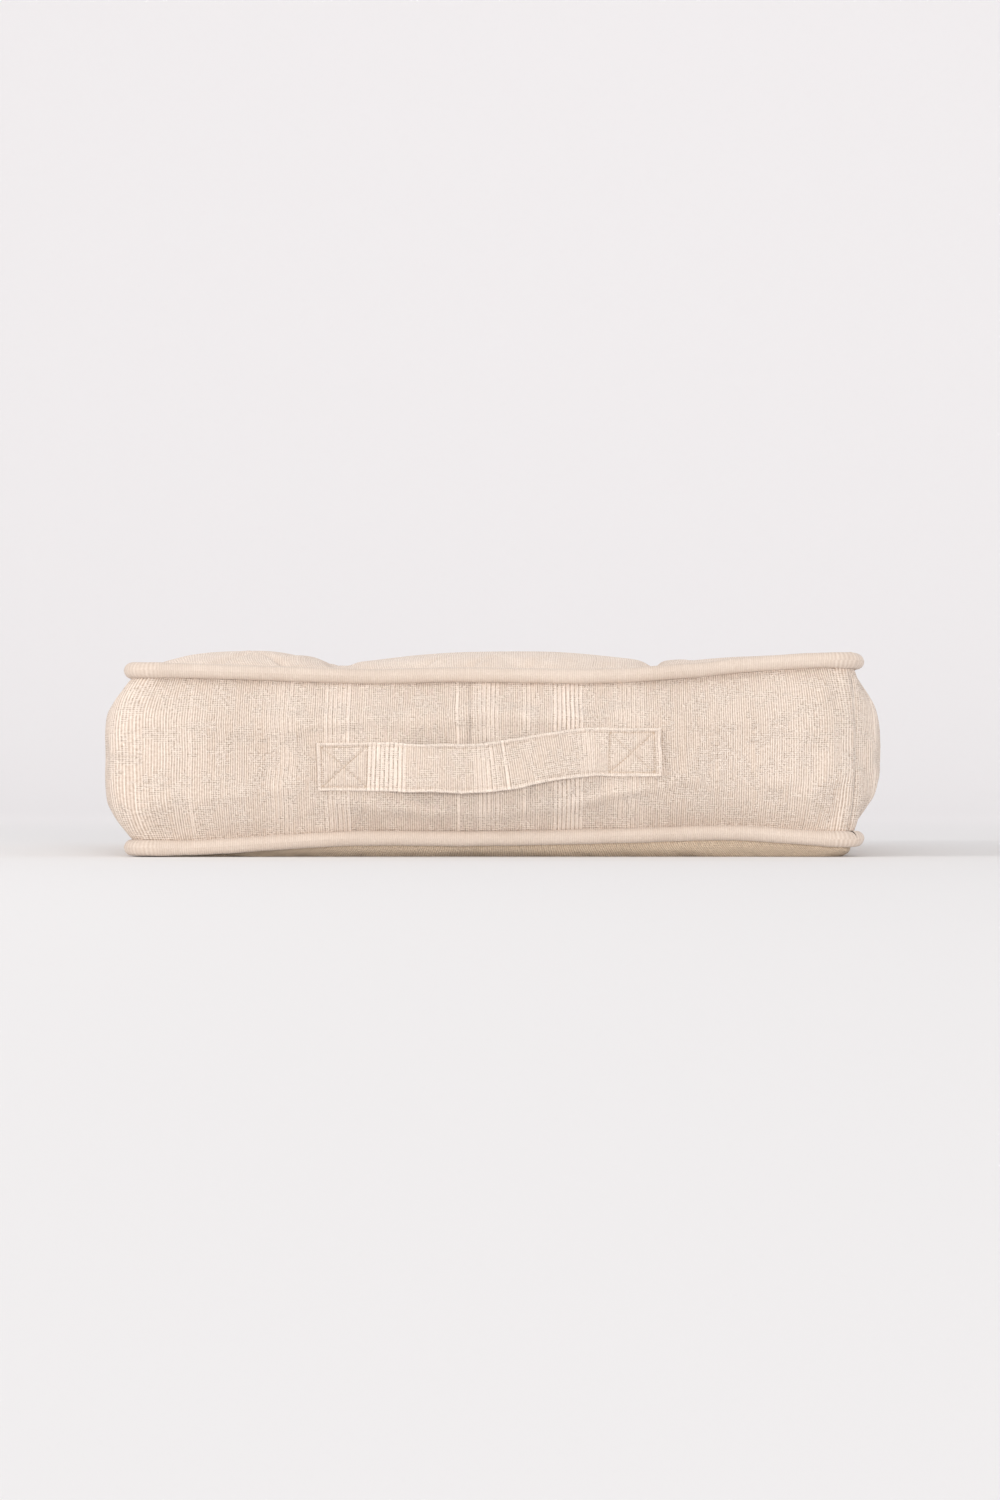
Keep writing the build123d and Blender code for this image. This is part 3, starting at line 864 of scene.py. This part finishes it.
def line_folds(folds, point):
    """How far the folds move the cloth outward at a point."""
    total = 0.0
    for start, end, width, rise in folds:
        start, end = Vector(start) / 1000, Vector(end) / 1000
        run = end - start
        t = (point - start).dot(run) / run.length_squared
        if -FOLD_FADE < t < 1 + FOLD_FADE:
            away = (point - start - run * t).length / (width / 1000)
            if away < 3:
                ends = smooth((t + FOLD_FADE) / 0.5) * smooth((1 + FOLD_FADE - t) / 0.5)
                total += rise / 1000 * math.exp(-(away**2)) * ends
    return total


def front_out(x, z):
    """How far in front of the middle the boxing lies where the handle is sewn to it."""
    s = 0.125 - x / girth()
    low, high = seam_point(s, 0).z + WELT / 2, seam_point(s, 1).z - WELT / 2
    return -boxing_point(s, (z - low) / (high - low)).y - SETTLED_IN


class CUSHION_OT_boxing(bpy.types.Operator):
    """Make the boxing's front and left strip and its right strip"""

    bl_idname = "cushion.boxing"
    bl_label = "Boxing"

    def execute(self, context):
        for name, start, end in (("front_left", 0.0, 0.5), ("right", 0.75, 1.0)):
            obj, size = boxing_strip(f"{name}_boxing_cover", start, end)
            settle(obj, held_strip(obj), cap=0.003)
            pucker(obj, start, end)
            refine(obj)
            if name == "front_left":
                self.dress_front(obj)
            thicken(obj)
            finish_piece(obj, [f"{name}_boxing"], material=cover_cloth("boxing"))
        return {"FINISHED"}

    def dress_front(self, obj):
        """The front's folds, and the neat flat ground that the handle is sewn to."""

        def move(point, place, normal):
            if point.y > -SEAM + 0.02:  # the left side's cloth stays as it is
                return point
            flat = Vector((point.x, point.z))
            held = 1 - smooth((strap_distance(flat) - 0.002) / 0.016)
            out = line_folds(FRONT_FOLDS, flat)
            ground = -front_out(point.x, point.z)
            return Vector((point.x, point.y * (1 - held) + ground * held - out, point.z))

        adjust(obj, move)


# ---- the welts ----
def welt_point(s, turn, level):
    """A point of a welt's skin, turn of the way round the cord."""
    side = s * 4 % 1
    ear = math.exp(-((min(side, 1 - side) / 0.03) ** 2))
    wobble = 1 + 0.05 * ripple(s * 90, math.sin(2 * math.pi * turn), 8.0 + level) + 0.08 * ear
    wobble += (0.02 + 0.09 * ear) * ripple(s * 600, turn * 3, 2.0 + level)
    radius = shape().welt * wobble
    angle = 2 * math.pi * turn
    return seam_point(s, level, WELT_OUT + radius * math.cos(angle), radius * math.sin(angle))


class CUSHION_OT_welts(bpy.types.Operator):
    """Make the corded welts in the top and bottom seams"""

    bl_idname = "cushion.welts"
    bl_label = "Welts"

    def execute(self, context):
        for level, name in ((1, "top"), (0, "bottom")):
            size = (girth(), 2 * math.pi * WELT)
            bm = woven_grid(
                round(girth() / WELT_CELL),
                18,
                size,
                lambda u, v: welt_point(u, v, level),
                (True, True),
            )
            bmesh.ops.recalc_face_normals(bm, faces=bm.faces)
            obj = new_object(f"{name}_welt_cover", bm)
            keep_above(obj, 0.0002)
            refine(obj)
            finish_piece(obj, [f"{name}_welt_wrap"], material=cover_cloth("welt"))
        return {"FINISHED"}


# ---- the back boxing and the zip ----
def mouth_half(x):
    """Half the gap between the two back strips, closing past the ends of the zip."""
    return MOUTH * (1 - smooth((abs(x) - CHAIN_END) / MOUTH_CLOSING)) + 0.0001


def back_strip(name, upper):
    """Half of the back boxing, above or below the zip."""
    sign = 1 if upper else -1

    def place(s, v):
        """The boxing, with its free edge level along the zip and flat over the tape."""
        point, middle = boxing_point(s, v), boxing_point(s, 0.5)
        inward = abs(v - (1.0 if upper else 0.0)) / 0.5  # 0 at the seam, 1 at the mouth
        along_zip = smooth((STRIP_JOIN - abs(point.x)) / 0.016)
        edge_z = MIDDLE_Z + sign * mouth_half(point.x)
        point.z += (edge_z - middle.z) * smooth(inward) * along_zip
        point.y += (SIDE_FACE + 0.0004 - middle.y) * smooth(inward * 1.1) * along_zip
        return point

    low, high = (0.5, 1.0) if upper else (0.0, 0.5)
    return boxing_strip(name, 0.5, 0.75, low, high, place)


def fold_mouth(obj, upper):
    """Rolls the strip's free edge in over the tape, with a row of stitching beside it."""
    rim = 0.0 if upper else 1.0

    def move(point, place, normal):
        away = abs(place.y - rim) * BOXING_TALL / 2
        ends = smooth((CHAIN_END + 0.004 - abs(point.x)) / 0.008)
        groove = math.exp(-(((away - 0.0075) / 0.002) ** 2))
        roll = max(0.0, 1 - away / 0.003) ** 2
        return point - Vector((0, 1, 0)) * (0.0006 * groove + 0.0022 * roll) * ends

    adjust(obj, move)


def stitch(length_m, thick):
    """One stitch lying along X: a small rounded grain of thread."""
    bm = bmesh.new()
    bmesh.ops.create_uvsphere(bm, u_segments=7, v_segments=5, radius=1.0)
    bmesh.ops.rotate(bm, verts=bm.verts, matrix=Matrix.Rotation(math.pi / 2, 3, "Y"))
    bmesh.ops.scale(bm, verts=bm.verts, vec=(length_m / 2, thick / 2, thick / 2))
    return bm


def stitch_row(bm, points, pitch=0.0027, thick=0.00075):
    """Lays stitches along a line of points, with a small gap between each pair."""
    one = bpy.data.meshes.new("one stitch")
    grain = stitch(pitch * 0.8, thick)
    grain.to_mesh(one)
    grain.free()
    lengths = [0.0]
    for a, b in zip(points, points[1:]):
        lengths.append(lengths[-1] + (b - a).length)
    count = max(1, round(lengths[-1] / pitch))
    for i in range(count):
        target = (i + 0.5) / count * lengths[-1]
        k = max(j for j, run in enumerate(lengths[:-1]) if run <= target)
        t = (target - lengths[k]) / max(lengths[k + 1] - lengths[k], 1e-9)
        centre = points[k].lerp(points[k + 1], t)
        along = (points[k + 1] - points[k]).normalized()
        side = along.cross(Vector((0, 1, 0))).normalized()
        third = along.cross(side)
        turn = Matrix((along, side, third)).transposed().to_4x4()
        before = set(bm.verts)
        bm.from_mesh(one)
        fresh = [v for v in bm.verts if v not in before]
        bmesh.ops.transform(bm, verts=fresh, matrix=Matrix.Translation(centre) @ turn)
    bpy.data.meshes.remove(one)


def thread_material():
    """The waxed thread of every row of stitches."""
    return ready_material("sewing thread", lambda name: spun(name, tuple(cloth().thread), 2500))


class CUSHION_OT_back_boxing(bpy.types.Operator):
    """Make the two back strips, folded along the zip and topstitched"""

    bl_idname = "cushion.back_boxing"
    bl_label = "Back boxing"

    def execute(self, context):
        for name, upper in (("upper", True), ("lower", False)):
            obj, size = back_strip(f"back_boxing_cover_{name}", upper)
            settle(obj, held_strip(obj), cap=0.004)
            pucker(obj, 0.5, 0.75, *((0.5, 1.0) if upper else (0.0, 0.5)))
            refine(obj)
            fold_mouth(obj, upper)
            tree = BVHTree.FromPolygons(
                [v.co for v in obj.data.vertices], [p.vertices for p in obj.data.polygons]
            )
            thicken(obj)
            finish_piece(
                obj, [f"rear_boxing_{name}"], material=cover_cloth("boxing")
            )
            self.topstitch(name, upper, tree)
        return {"FINISHED"}

    def topstitch(self, name, upper, tree):
        """A row of stitches beside the folded edge."""
        sign = 1 if upper else -1
        z = MIDDLE_Z + sign * (MOUTH + 0.0073)
        points = []
        for i in range(105):
            x = -CHAIN_END + 2 * CHAIN_END * i / 104
            hit, *_ = tree.ray_cast(Vector((x, 0.5, z)), Vector((0, -1, 0)))
            points.append((hit or Vector((x, SIDE_FACE, z))) + Vector((0, 0.0002, 0)))
        bm = bmesh.new()
        stitch_row(bm, points)
        obj = new_object(f"zip_topstitching_{name}", bm)
        finish_piece(obj, material=thread_material())


def coil_point(u, v, sign):
    """A point of one wound half of the chain."""
    wire = COIL_WIRE
    low, high = COIL_LOW.x, COIL_HIGH.x
    turns = (high - low) / COIL_PITCH
    angle = 2 * math.pi * turns * u
    inner, outer = 0.0003, COIL_HIGH.z - MIDDLE_Z  # from the line between the two halves
    reach = (outer - inner) / 2 - wire
    rise = (COIL_HIGH.y - COIL_LOW.y) / 2 - wire
    z = MIDDLE_Z + sign * ((inner + outer) / 2)
    y = (COIL_HIGH.y + COIL_LOW.y) / 2
    round_it = 2 * math.pi * v
    swell = 1 + wire * math.cos(round_it) / rise
    return Vector(
        (
            low + (high - low) * u + wire * math.sin(round_it),
            y + rise * math.sin(angle) * swell,
            z - sign * reach * math.cos(angle) * (1 + wire * math.cos(round_it) / reach),
        )
    )


class CUSHION_OT_zip(bpy.types.Operator):
    """Make the zip's wound chain, and colour its tapes, stops, slider and pull"""

    bl_idname = "cushion.zip"
    bl_label = "Zip"

    def execute(self, context):
        nylon = spun("zip nylon", (0.80, 0.71, 0.60), 600, 0.00005, 0.45)
        turns = round((COIL_HIGH.x - COIL_LOW.x) / COIL_PITCH)
        for name, sign in (("upper", 1), ("lower", -1)):
            bm = woven_grid(
                turns * 10, 5, (1, 1), lambda u, v: coil_point(u, v, sign), (False, True)
            )
            bmesh.ops.holes_fill(bm, edges=[e for e in bm.edges if e.is_boundary])
            bmesh.ops.recalc_face_normals(bm, faces=bm.faces)
            obj = new_object(f"zip_chain_{name}", bm)
            finish_piece(obj, [f"zip_coil_{name}"], material=nylon)
        tape = spun("zip tape", (0.80, 0.72, 0.62), 900, 0.0002, 0.85)
        metal = zip_metal("zip metal")
        for node, material in (
            ("zip_tape_upper", tape),
            ("zip_tape_lower", tape),
            ("zip_top_stop_upper", metal),
            ("zip_top_stop_lower", metal),
            ("zip_bottom_stop", metal),
            ("zip_slider", metal),
            ("zip_pull", metal),
        ):
            colour_node(node, material)
        return {"FINISHED"}


def colour_node(node, material):
    """Gives a CAD node its finish."""
    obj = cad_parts[node]
    obj.data.materials.clear()
    obj.data.materials.append(material)


def zip_metal(name):
    """Tumbled nickel plate: slightly cloudy, with fine scratches."""
    made = Nodes(name)
    where = made.node("ShaderNodeTexCoord").outputs["Object"]
    stretched = made.node("ShaderNodeMapping")
    made.link(where, stretched.inputs[0])
    stretched.inputs["Scale"].default_value = (300, 2500, 2500)
    scratches = made.noise(stretched.outputs[0], detail=4)
    rough = made.math("ADD", made.math("MULTIPLY", scratches, 0.25), 0.18)
    made.link(rough, made.shader.inputs["Roughness"])
    made.bump(scratches, 0.00004)
    tint = made.mix(scratches, (0.60, 0.58, 0.55), (0.74, 0.72, 0.69))
    made.link(tint, made.shader.inputs["Base Color"])
    made.shader.inputs["Metallic"].default_value = 1.0
    return made.material


# ---- the handle ----


def strap_middle(x):
    """The height of the strap's centre line: level, a rise, and level again."""
    return END_LOW + (END_HIGH - END_LOW) * smooth((x + 0.012) / 0.105) + 0.0008 * math.sin(x * 40)


def strap_distance(flat):
    """How far a point (x, z) of the front lies outside the strap's outline."""
    x = min(max(flat.x, STRAP_LEFT), STRAP_RIGHT)
    over = abs(flat.y - strap_middle(x)) - STRAP_TALL / 2
    return math.hypot(max(over, 0), flat.x - x)


def box_lines():
    """The sewn lines of both ends, in the strap's own flat plane: (from left, up)."""
    half, inset = STRAP_TALL / 2, STITCH_INSET
    lines = []
    for left in (inset, STRAP_LONG - END_BOX - inset + 0.002):
        right = left + END_BOX - 0.004
        low, high = -half + inset, half - inset
        corners = [(left, low), (right, low), (right, high), (left, high)]
        lines += list(zip(corners, corners[1:] + corners[:1]))
        lines += [(corners[0], corners[2]), (corners[1], corners[3])]
    return lines


def line_distance(px, py, line):
    """How far (px, py) is from the nearest point of a line with two ends."""
    (ax, ay), (bx, by) = line
    dx, dy = bx - ax, by - ay
    t = min(max(((px - ax) * dx + (py - ay) * dy) / (dx * dx + dy * dy), 0), 1)
    return math.hypot(px - ax - dx * t, py - ay - dy * t)


def strap_base(along, up):
    """A point of the strap's back, from its place in the strap laid flat."""
    x = STRAP_LEFT + along
    z = strap_middle(x)
    step = 0.001
    slope = (strap_middle(x + step) - strap_middle(x - step)) / (2 * step)
    lean = math.atan(slope)
    uneven = 0.0009 * ripple(along * 45, up * 25, 5.5)
    tip = math.exp(-min(along, STRAP_LONG - along) / 0.006)  # the sewn ends are a little ragged
    point_x = x - up * math.sin(lean) + 0.0012 * tip * ripple(up * 50, along * 9, 3.7)
    point_z = z + up * math.cos(lean) + uneven
    sewn = END_BOX + 0.001
    free = smooth((along - sewn) / 0.06) * smooth((STRAP_LONG - sewn - along) / 0.06)
    bow = STRAP_BOW * free * (1 + 0.1 * ripple(along * 14, 0.3, 9.4))
    flatter = front_out(x, z) * 0.65 + front_out(point_x, point_z) * 0.35
    out = front_out(point_x, point_z) * (1 - free) + flatter * free + bow
    return Vector((point_x, -out - 0.0003, point_z))


def strap_relief(along, up, lines):
    """How far the strap's face stands out: folded edges, and grooves under the thread."""
    rim = min(along, STRAP_LONG - along, STRAP_TALL / 2 - abs(up))
    hem = 0.0011 * math.exp(-(((rim - 0.0013) / 0.0013) ** 2))
    edge_row = math.exp(-(((STRAP_TALL / 2 - abs(up) - STITCH_INSET) / 0.0008) ** 2))
    sewn = min(line_distance(along, up, line) for line in lines)
    groove = max(math.exp(-((sewn / 0.0010) ** 2)), 0.8 * edge_row)
    puff = 0.0005 * (1 - math.exp(-((sewn / 0.005) ** 2)))
    return 0.0022 + hem + puff - 0.0016 * groove + 0.0003 * ripple(along * 90, up * 90, 2.2)


class CUSHION_OT_handle(bpy.types.Operator):
    """Make the folded carry handle and lay it on the front boxing"""

    bl_idname = "cushion.handle"
    bl_label = "Handle"

    def execute(self, context):
        lines = box_lines()

        def place(u, v):
            along, up = u * STRAP_LONG, (v - 0.5) * STRAP_TALL
            return strap_base(along, up) - Vector((0, strap_relief(along, up, lines), 0))

        bm = woven_grid(260, 40, (STRAP_LONG, STRAP_TALL), place)
        face_outward(bm, lambda centre: Vector((0, -1, 0)))
        obj = new_object("handle_strap_cover", bm)
        thicken(obj, STRAP_THICK)
        finish_piece(obj, ["handle_strap"], material=cover_cloth("handle"))
        self.sew(lines)
        return {"FINISHED"}

    def sew(self, lines):
        """Rows of stitches along the grooves: a box and a cross at each end."""

        def on_face(along, up):
            return strap_base(along, up) - Vector((0, strap_relief(along, up, lines) + 0.0001, 0))

        half = len(lines) // 2
        for side, chosen in (("left", lines[:half]), ("right", lines[half:])):
            bm = bmesh.new()
            for (ax, ay), (bx, by) in chosen:
                run = [on_face(ax + (bx - ax) * i / 24, ay + (by - ay) * i / 24) for i in range(25)]
                stitch_row(bm, run, thick=0.0009)
            obj = new_object(f"handle_box_thread_{side}", bm)
            finish_piece(obj, [f"handle_box_stitching_{side}"], material=thread_material())
        for name, sign in (("upper", 1), ("lower", -1)):
            row = sign * (STRAP_TALL / 2 - STITCH_INSET)
            run = [on_face(0.004 + (STRAP_LONG - 0.008) * i / 110, row) for i in range(111)]
            bm = bmesh.new()
            stitch_row(bm, run, thick=0.0008)
            obj = new_object(f"handle_edge_thread_{name}", bm)
            finish_piece(obj, [f"handle_edge_stitching_{name}"], material=thread_material())


# ---- tufts ----
class CUSHION_OT_tufts(bpy.types.Operator):
    """Cover the tufts' buttons and colour the twines"""

    bl_idname = "cushion.tufts"
    bl_label = "Tufts"

    def execute(self, context):
        twine = spun("waxed twine", (0.74, 0.68, 0.56), 1600, 0.0003, 0.55)
        for name, (x, y) in TUFTS.items():
            self.button(f"top_tuft_{name}", f"top_button_{name}", x, y, BUTTON_LOW.z, 1)
            self.button(f"foot_tuft_{name}", f"bottom_button_{name}", x, y, FOOT_BUTTON_Z, -1)
            colour_node(f"tufting_twine_{name}", twine)
        return {"FINISHED"}

    def button(self, name, node, x, y, base, sign):
        """A domed button whose cloth is gathered in under its rim."""
        below, pleats = 0.34, 17  # share of the height under the rim, and gathers round it
        radius = (BUTTON_HIGH.x - BUTTON_LOW.x) / 2
        high = BUTTON_HIGH.z - BUTTON_LOW.z
        bm = bmesh.new()
        bmesh.ops.create_uvsphere(bm, u_segments=48, v_segments=24, radius=1.0)
        layer = bm.loops.layers.uv.new("cloth")
        for face in bm.faces:
            for loop in face.loops:
                loop[layer].uv = (loop.vert.co.x * radius, loop.vert.co.y * radius)
        for vert in bm.verts:
            angle = math.atan2(vert.co.y, vert.co.x)
            flat = math.hypot(vert.co.x, vert.co.y)
            up = vert.co.z
            gathered = smooth((0.55 - up) / 0.6) * flat
            pleat = 1 + 0.02 * math.sin(angle * pleats + x * 90) * gathered
            full = flat**0.8 if flat > 0 else 0
            rise = below + (1 - below) * up if up > 0 else below * (1 + up)
            vert.co = Vector((math.cos(angle) * full * pleat, math.sin(angle) * full * pleat, rise))
        size = (radius, radius, sign * high)
        bmesh.ops.scale(bm, verts=bm.verts, vec=size)
        bmesh.ops.translate(bm, verts=bm.verts, vec=(x, y, base))
        bmesh.ops.recalc_face_normals(bm, faces=bm.faces)
        obj = new_object(name, bm)
        finish_piece(obj, [node], material=cover_cloth("top"))


# ---- inside ----
def inner_panel(sign, drop, reach, cells):
    """A sheet under the top (1) or over the underside (-1), drop away from it.

    reach is its width as a share of the cover's.
    """
    height = top_height if sign > 0 else foot_height

    def place(u, v):
        return panel_point(
            (2 * u - 1) * reach,
            (2 * v - 1) * reach,
            int(sign > 0),
            0.0,
            0.0,
            lambda x, y, edge, rim_z: height(x, y, edge, rim_z) - sign * drop,
        )

    return woven_grid(cells, cells, (2 * SEAM, 2 * SEAM), place)


class CUSHION_OT_filling(bpy.types.Operator):
    """Make the liner and the fibre that fill the cover, and colour what they hold"""

    bl_idname = "cushion.filling"
    bl_label = "Filling"

    def execute(self, context):
        calico = spun("liner calico", (0.84, 0.80, 0.72), 900, 0.0002, 0.9)
        fibre = spun("loose fibre", (0.93, 0.93, 0.91), 260, 0.0012, 0.95)
        cord = spun("piping cord", (0.86, 0.82, 0.74), 500, 0.0006, 0.9)
        for name, sign in (("top", 1), ("bottom", -1)):
            bm = inner_panel(sign, LINER_DROP, 0.965, 60)
            face_outward(bm, lambda centre: Vector((0, 0, sign)))
            obj = new_object(f"liner_{name}_cloth", bm)
            thicken(obj, LINER_THICK)
            finish_piece(obj, [f"liner_{name}"], material=calico)
        self.fibre_layers(fibre)
        self.band(calico)
        for name, level in (("top", 1), ("bottom", 0)):
            self.piping(name, level, cord)
        return {"FINISHED"}

    def band(self, material):
        """The liner's side band, and the two patches behind the handle's ends."""

        def place(u, v):
            point = boxing_point(u, 0.1 + 0.8 * v)
            _, normal = around(u)
            return point - Vector((*normal, 0)) * 0.011

        size = (girth(), BAND_TALL)
        bm = woven_grid(320, 20, size, place, (True, False))
        face_outward(bm, lambda centre: Vector((centre.x, centre.y, 0)))
        obj = new_object("liner_band_cloth", bm)
        thicken(obj, LINER_THICK)
        finish_piece(obj, ["liner_band"], material=material)
        for side, x in (("left", STRAP_LEFT + END_BOX / 2), ("right", STRAP_RIGHT - END_BOX / 2)):

            def patch(u, v, x=x):
                across = x + (u - 0.5) * PATCH[0]
                z = strap_middle(x) + (v - 0.5) * PATCH[1]
                return Vector((across, -front_out(across, z) + 0.0022, z))

            bm = woven_grid(14, 14, PATCH, patch)
            face_outward(bm, lambda centre: Vector((0, -1, 0)))
            obj = new_object(f"handle_backing_cloth_{side}", bm)
            thicken(obj, LINER_THICK)
            finish_piece(obj, [f"handle_backing_{side}"], material=material)

    def piping(self, name, level, material):
        """The cord that fills a welt."""

        def place(u, v):
            angle = 2 * math.pi * v
            radius = (shape().welt - 0.0015) * (1 + 0.02 * math.cos(3 * angle + u * 2200))
            return seam_point(
                u, level, WELT_OUT + radius * math.cos(angle), radius * math.sin(angle) + 0.0002
            )

        bm = woven_grid(700, 16, (girth(), 0.03), place, (True, True))
        bmesh.ops.recalc_face_normals(bm, faces=bm.faces)
        obj = new_object(f"{name}_piping_cord", bm)
        keep_above(obj, 0.0014)
        finish_piece(obj, [f"{name}_welt_cord"], material=material)

    def fibre_layers(self, material):
        """Three layers of fibre: a slab between two that fill the crown and the foot."""
        core_low, core_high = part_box("core_fibre_layer")
        layers = (("top", core_high.z + 0.0005, 1), ("bottom", core_low.z - 0.0005, -1))
        for name, base, sign in layers:
            bm = inner_panel(sign, FIBRE_DROP, 0.945, 56)
            rim = [edge for edge in bm.edges if edge.is_boundary]
            made = bmesh.ops.extrude_edge_only(bm, edges=rim)["geom"]
            for vert in (item for item in made if isinstance(item, bmesh.types.BMVert)):
                vert.co.z = base
            lower = [e for e in bm.edges if e.is_boundary]
            bmesh.ops.edgeloop_fill(bm, edges=lower)
            bmesh.ops.recalc_face_normals(bm, faces=bm.faces)
            obj = new_object(f"{name}_fibre", bm)
            finish_piece(obj, [f"{name}_fibre_layer"], material=material)
        colour_node("core_fibre_layer", material)


# ---- floor, light and camera ----
KEY_PLACE = (-3.0, -1.7, 1.7)
FRONT_PLACE = (1.6, -8.0, 0.9)


class CUSHION_OT_stage(bpy.types.Operator):
    """Set the pale floor, the soft light and the camera"""

    bl_idname = "cushion.stage"
    bl_label = "Stage"

    def execute(self, context):
        scene = context.scene
        rules = scene.cushion_stage
        self.floor()
        world = bpy.data.worlds.new("even light")
        scene.world = world
        world.use_nodes = True
        background = world.node_tree.nodes["Background"]
        background.inputs["Color"].default_value = (1.0, 0.985, 0.985, 1)
        background.inputs["Strength"].default_value = rules.sky
        self.light("key", KEY_PLACE, 0.9, rules.key, (1.0, 0.97, 0.94))
        self.light("front", FRONT_PLACE, 1.6, rules.fill, (1.0, 0.985, 0.98))
        data = bpy.data.cameras.new("camera")
        data.lens = rules.lens
        data.sensor_width = 36.0
        data.sensor_fit = "AUTO"
        data.clip_end = 100
        camera = bpy.data.objects.new("camera", data)
        scene.collection.objects.link(camera)
        camera.location = (0.005, -SEAM - rules.distance, rules.height)
        camera.rotation_euler = (math.pi / 2 + math.radians(rules.tilt), 0, 0)
        scene.camera = camera
        scene.view_settings.view_transform = "Standard"
        return {"FINISHED"}

    def light(self, name, place, size, power, tint):
        """A round soft light that points at the cushion."""
        data = bpy.data.lights.new(name, "AREA")
        data.shape, data.size, data.energy, data.color = "DISK", size, power, tint
        lamp = bpy.data.objects.new(name, data)
        bpy.context.scene.collection.objects.link(lamp)
        lamp.location = place
        lamp.rotation_euler = (Vector((0, 0, 0.08)) - Vector(place)).to_track_quat("-Z", "Y").to_euler()

    def floor(self):
        """One sheet of paper: the floor, sweeping up behind into a backdrop."""
        wide, long, front = 32, 28, -14
        bend, flat = 3.0, 18.0  # radius of the sweep, and the length before it
        bm = bmesh.new()
        bmesh.ops.create_grid(bm, x_segments=2, y_segments=84, size=0.5)
        for vert in bm.verts:
            run = (vert.co.y + 0.5) * long
            angle = min(max((run - flat) / bend, 0), math.pi / 2)
            x = vert.co.x * wide
            y = front + min(run, flat) + bend * math.sin(angle)
            z = bend * (1 - math.cos(angle)) + max(0, run - flat - bend * math.pi / 2)
            vert.co = (x, y, z)
        face_outward(bm, lambda centre: Vector((0, -0.5, 1)))
        obj = new_object("floor", bm)
        made = Nodes("pale floor")
        where = made.node("ShaderNodeTexCoord").outputs["Object"]
        split = made.node("ShaderNodeSeparateXYZ")
        made.link(where, split.inputs[0])
        # Painted light: the paper is painted darker at the front and paler towards the back and up the
        # backdrop, setting how bright each looks, with faint slow patches.
        paler = made.ramp(split.outputs[1], 0.4, 3.0)
        paler = made.math("ADD", paler, made.math("MULTIPLY", made.noise(where), 0.06), clamp=True)
        made.link(
            made.mix(paler, (0.85, 0.845, 0.85), (0.945, 0.93, 0.938)),
            made.shader.inputs["Base Color"],
        )
        obj.data.materials.append(made.finish(0.75, Specular_IOR_Level=0.2))


STEPS = (
    CUSHION_OT_top_cover,
    CUSHION_OT_underside,
    CUSHION_OT_boxing,
    CUSHION_OT_welts,
    CUSHION_OT_back_boxing,
    CUSHION_OT_zip,
    CUSHION_OT_handle,
    CUSHION_OT_tufts,
    CUSHION_OT_filling,
    CUSHION_OT_stage,
)


class CUSHION_PT_panel(bpy.types.Panel):
    """The cushion's steps, in order"""

    bl_idname = "CUSHION_PT_panel"
    bl_label = "Boxed Floor Cushion"
    bl_space_type = "VIEW_3D"
    bl_region_type = "UI"
    bl_category = "Cushion"

    def draw(self, context):
        for step in STEPS:
            self.layout.operator(step.bl_idname)


CLASSES = (CushionShape, CushionCloth, CushionStage, *STEPS, CUSHION_PT_panel)


def register():
    for item in CLASSES:
        bpy.utils.register_class(item)
    bpy.types.Scene.cushion_shape = PointerProperty(type=CushionShape)
    bpy.types.Scene.cushion_cloth = PointerProperty(type=CushionCloth)
    bpy.types.Scene.cushion_stage = PointerProperty(type=CushionStage)


def unregister():
    del bpy.types.Scene.cushion_stage, bpy.types.Scene.cushion_cloth, bpy.types.Scene.cushion_shape
    for item in reversed(CLASSES):
        bpy.utils.unregister_class(item)


def main():
    register()
    for step in STEPS:
        group, name = step.bl_idname.split(".")
        getattr(getattr(bpy.ops, group), name)()


if __name__ == "__main__":
    main()
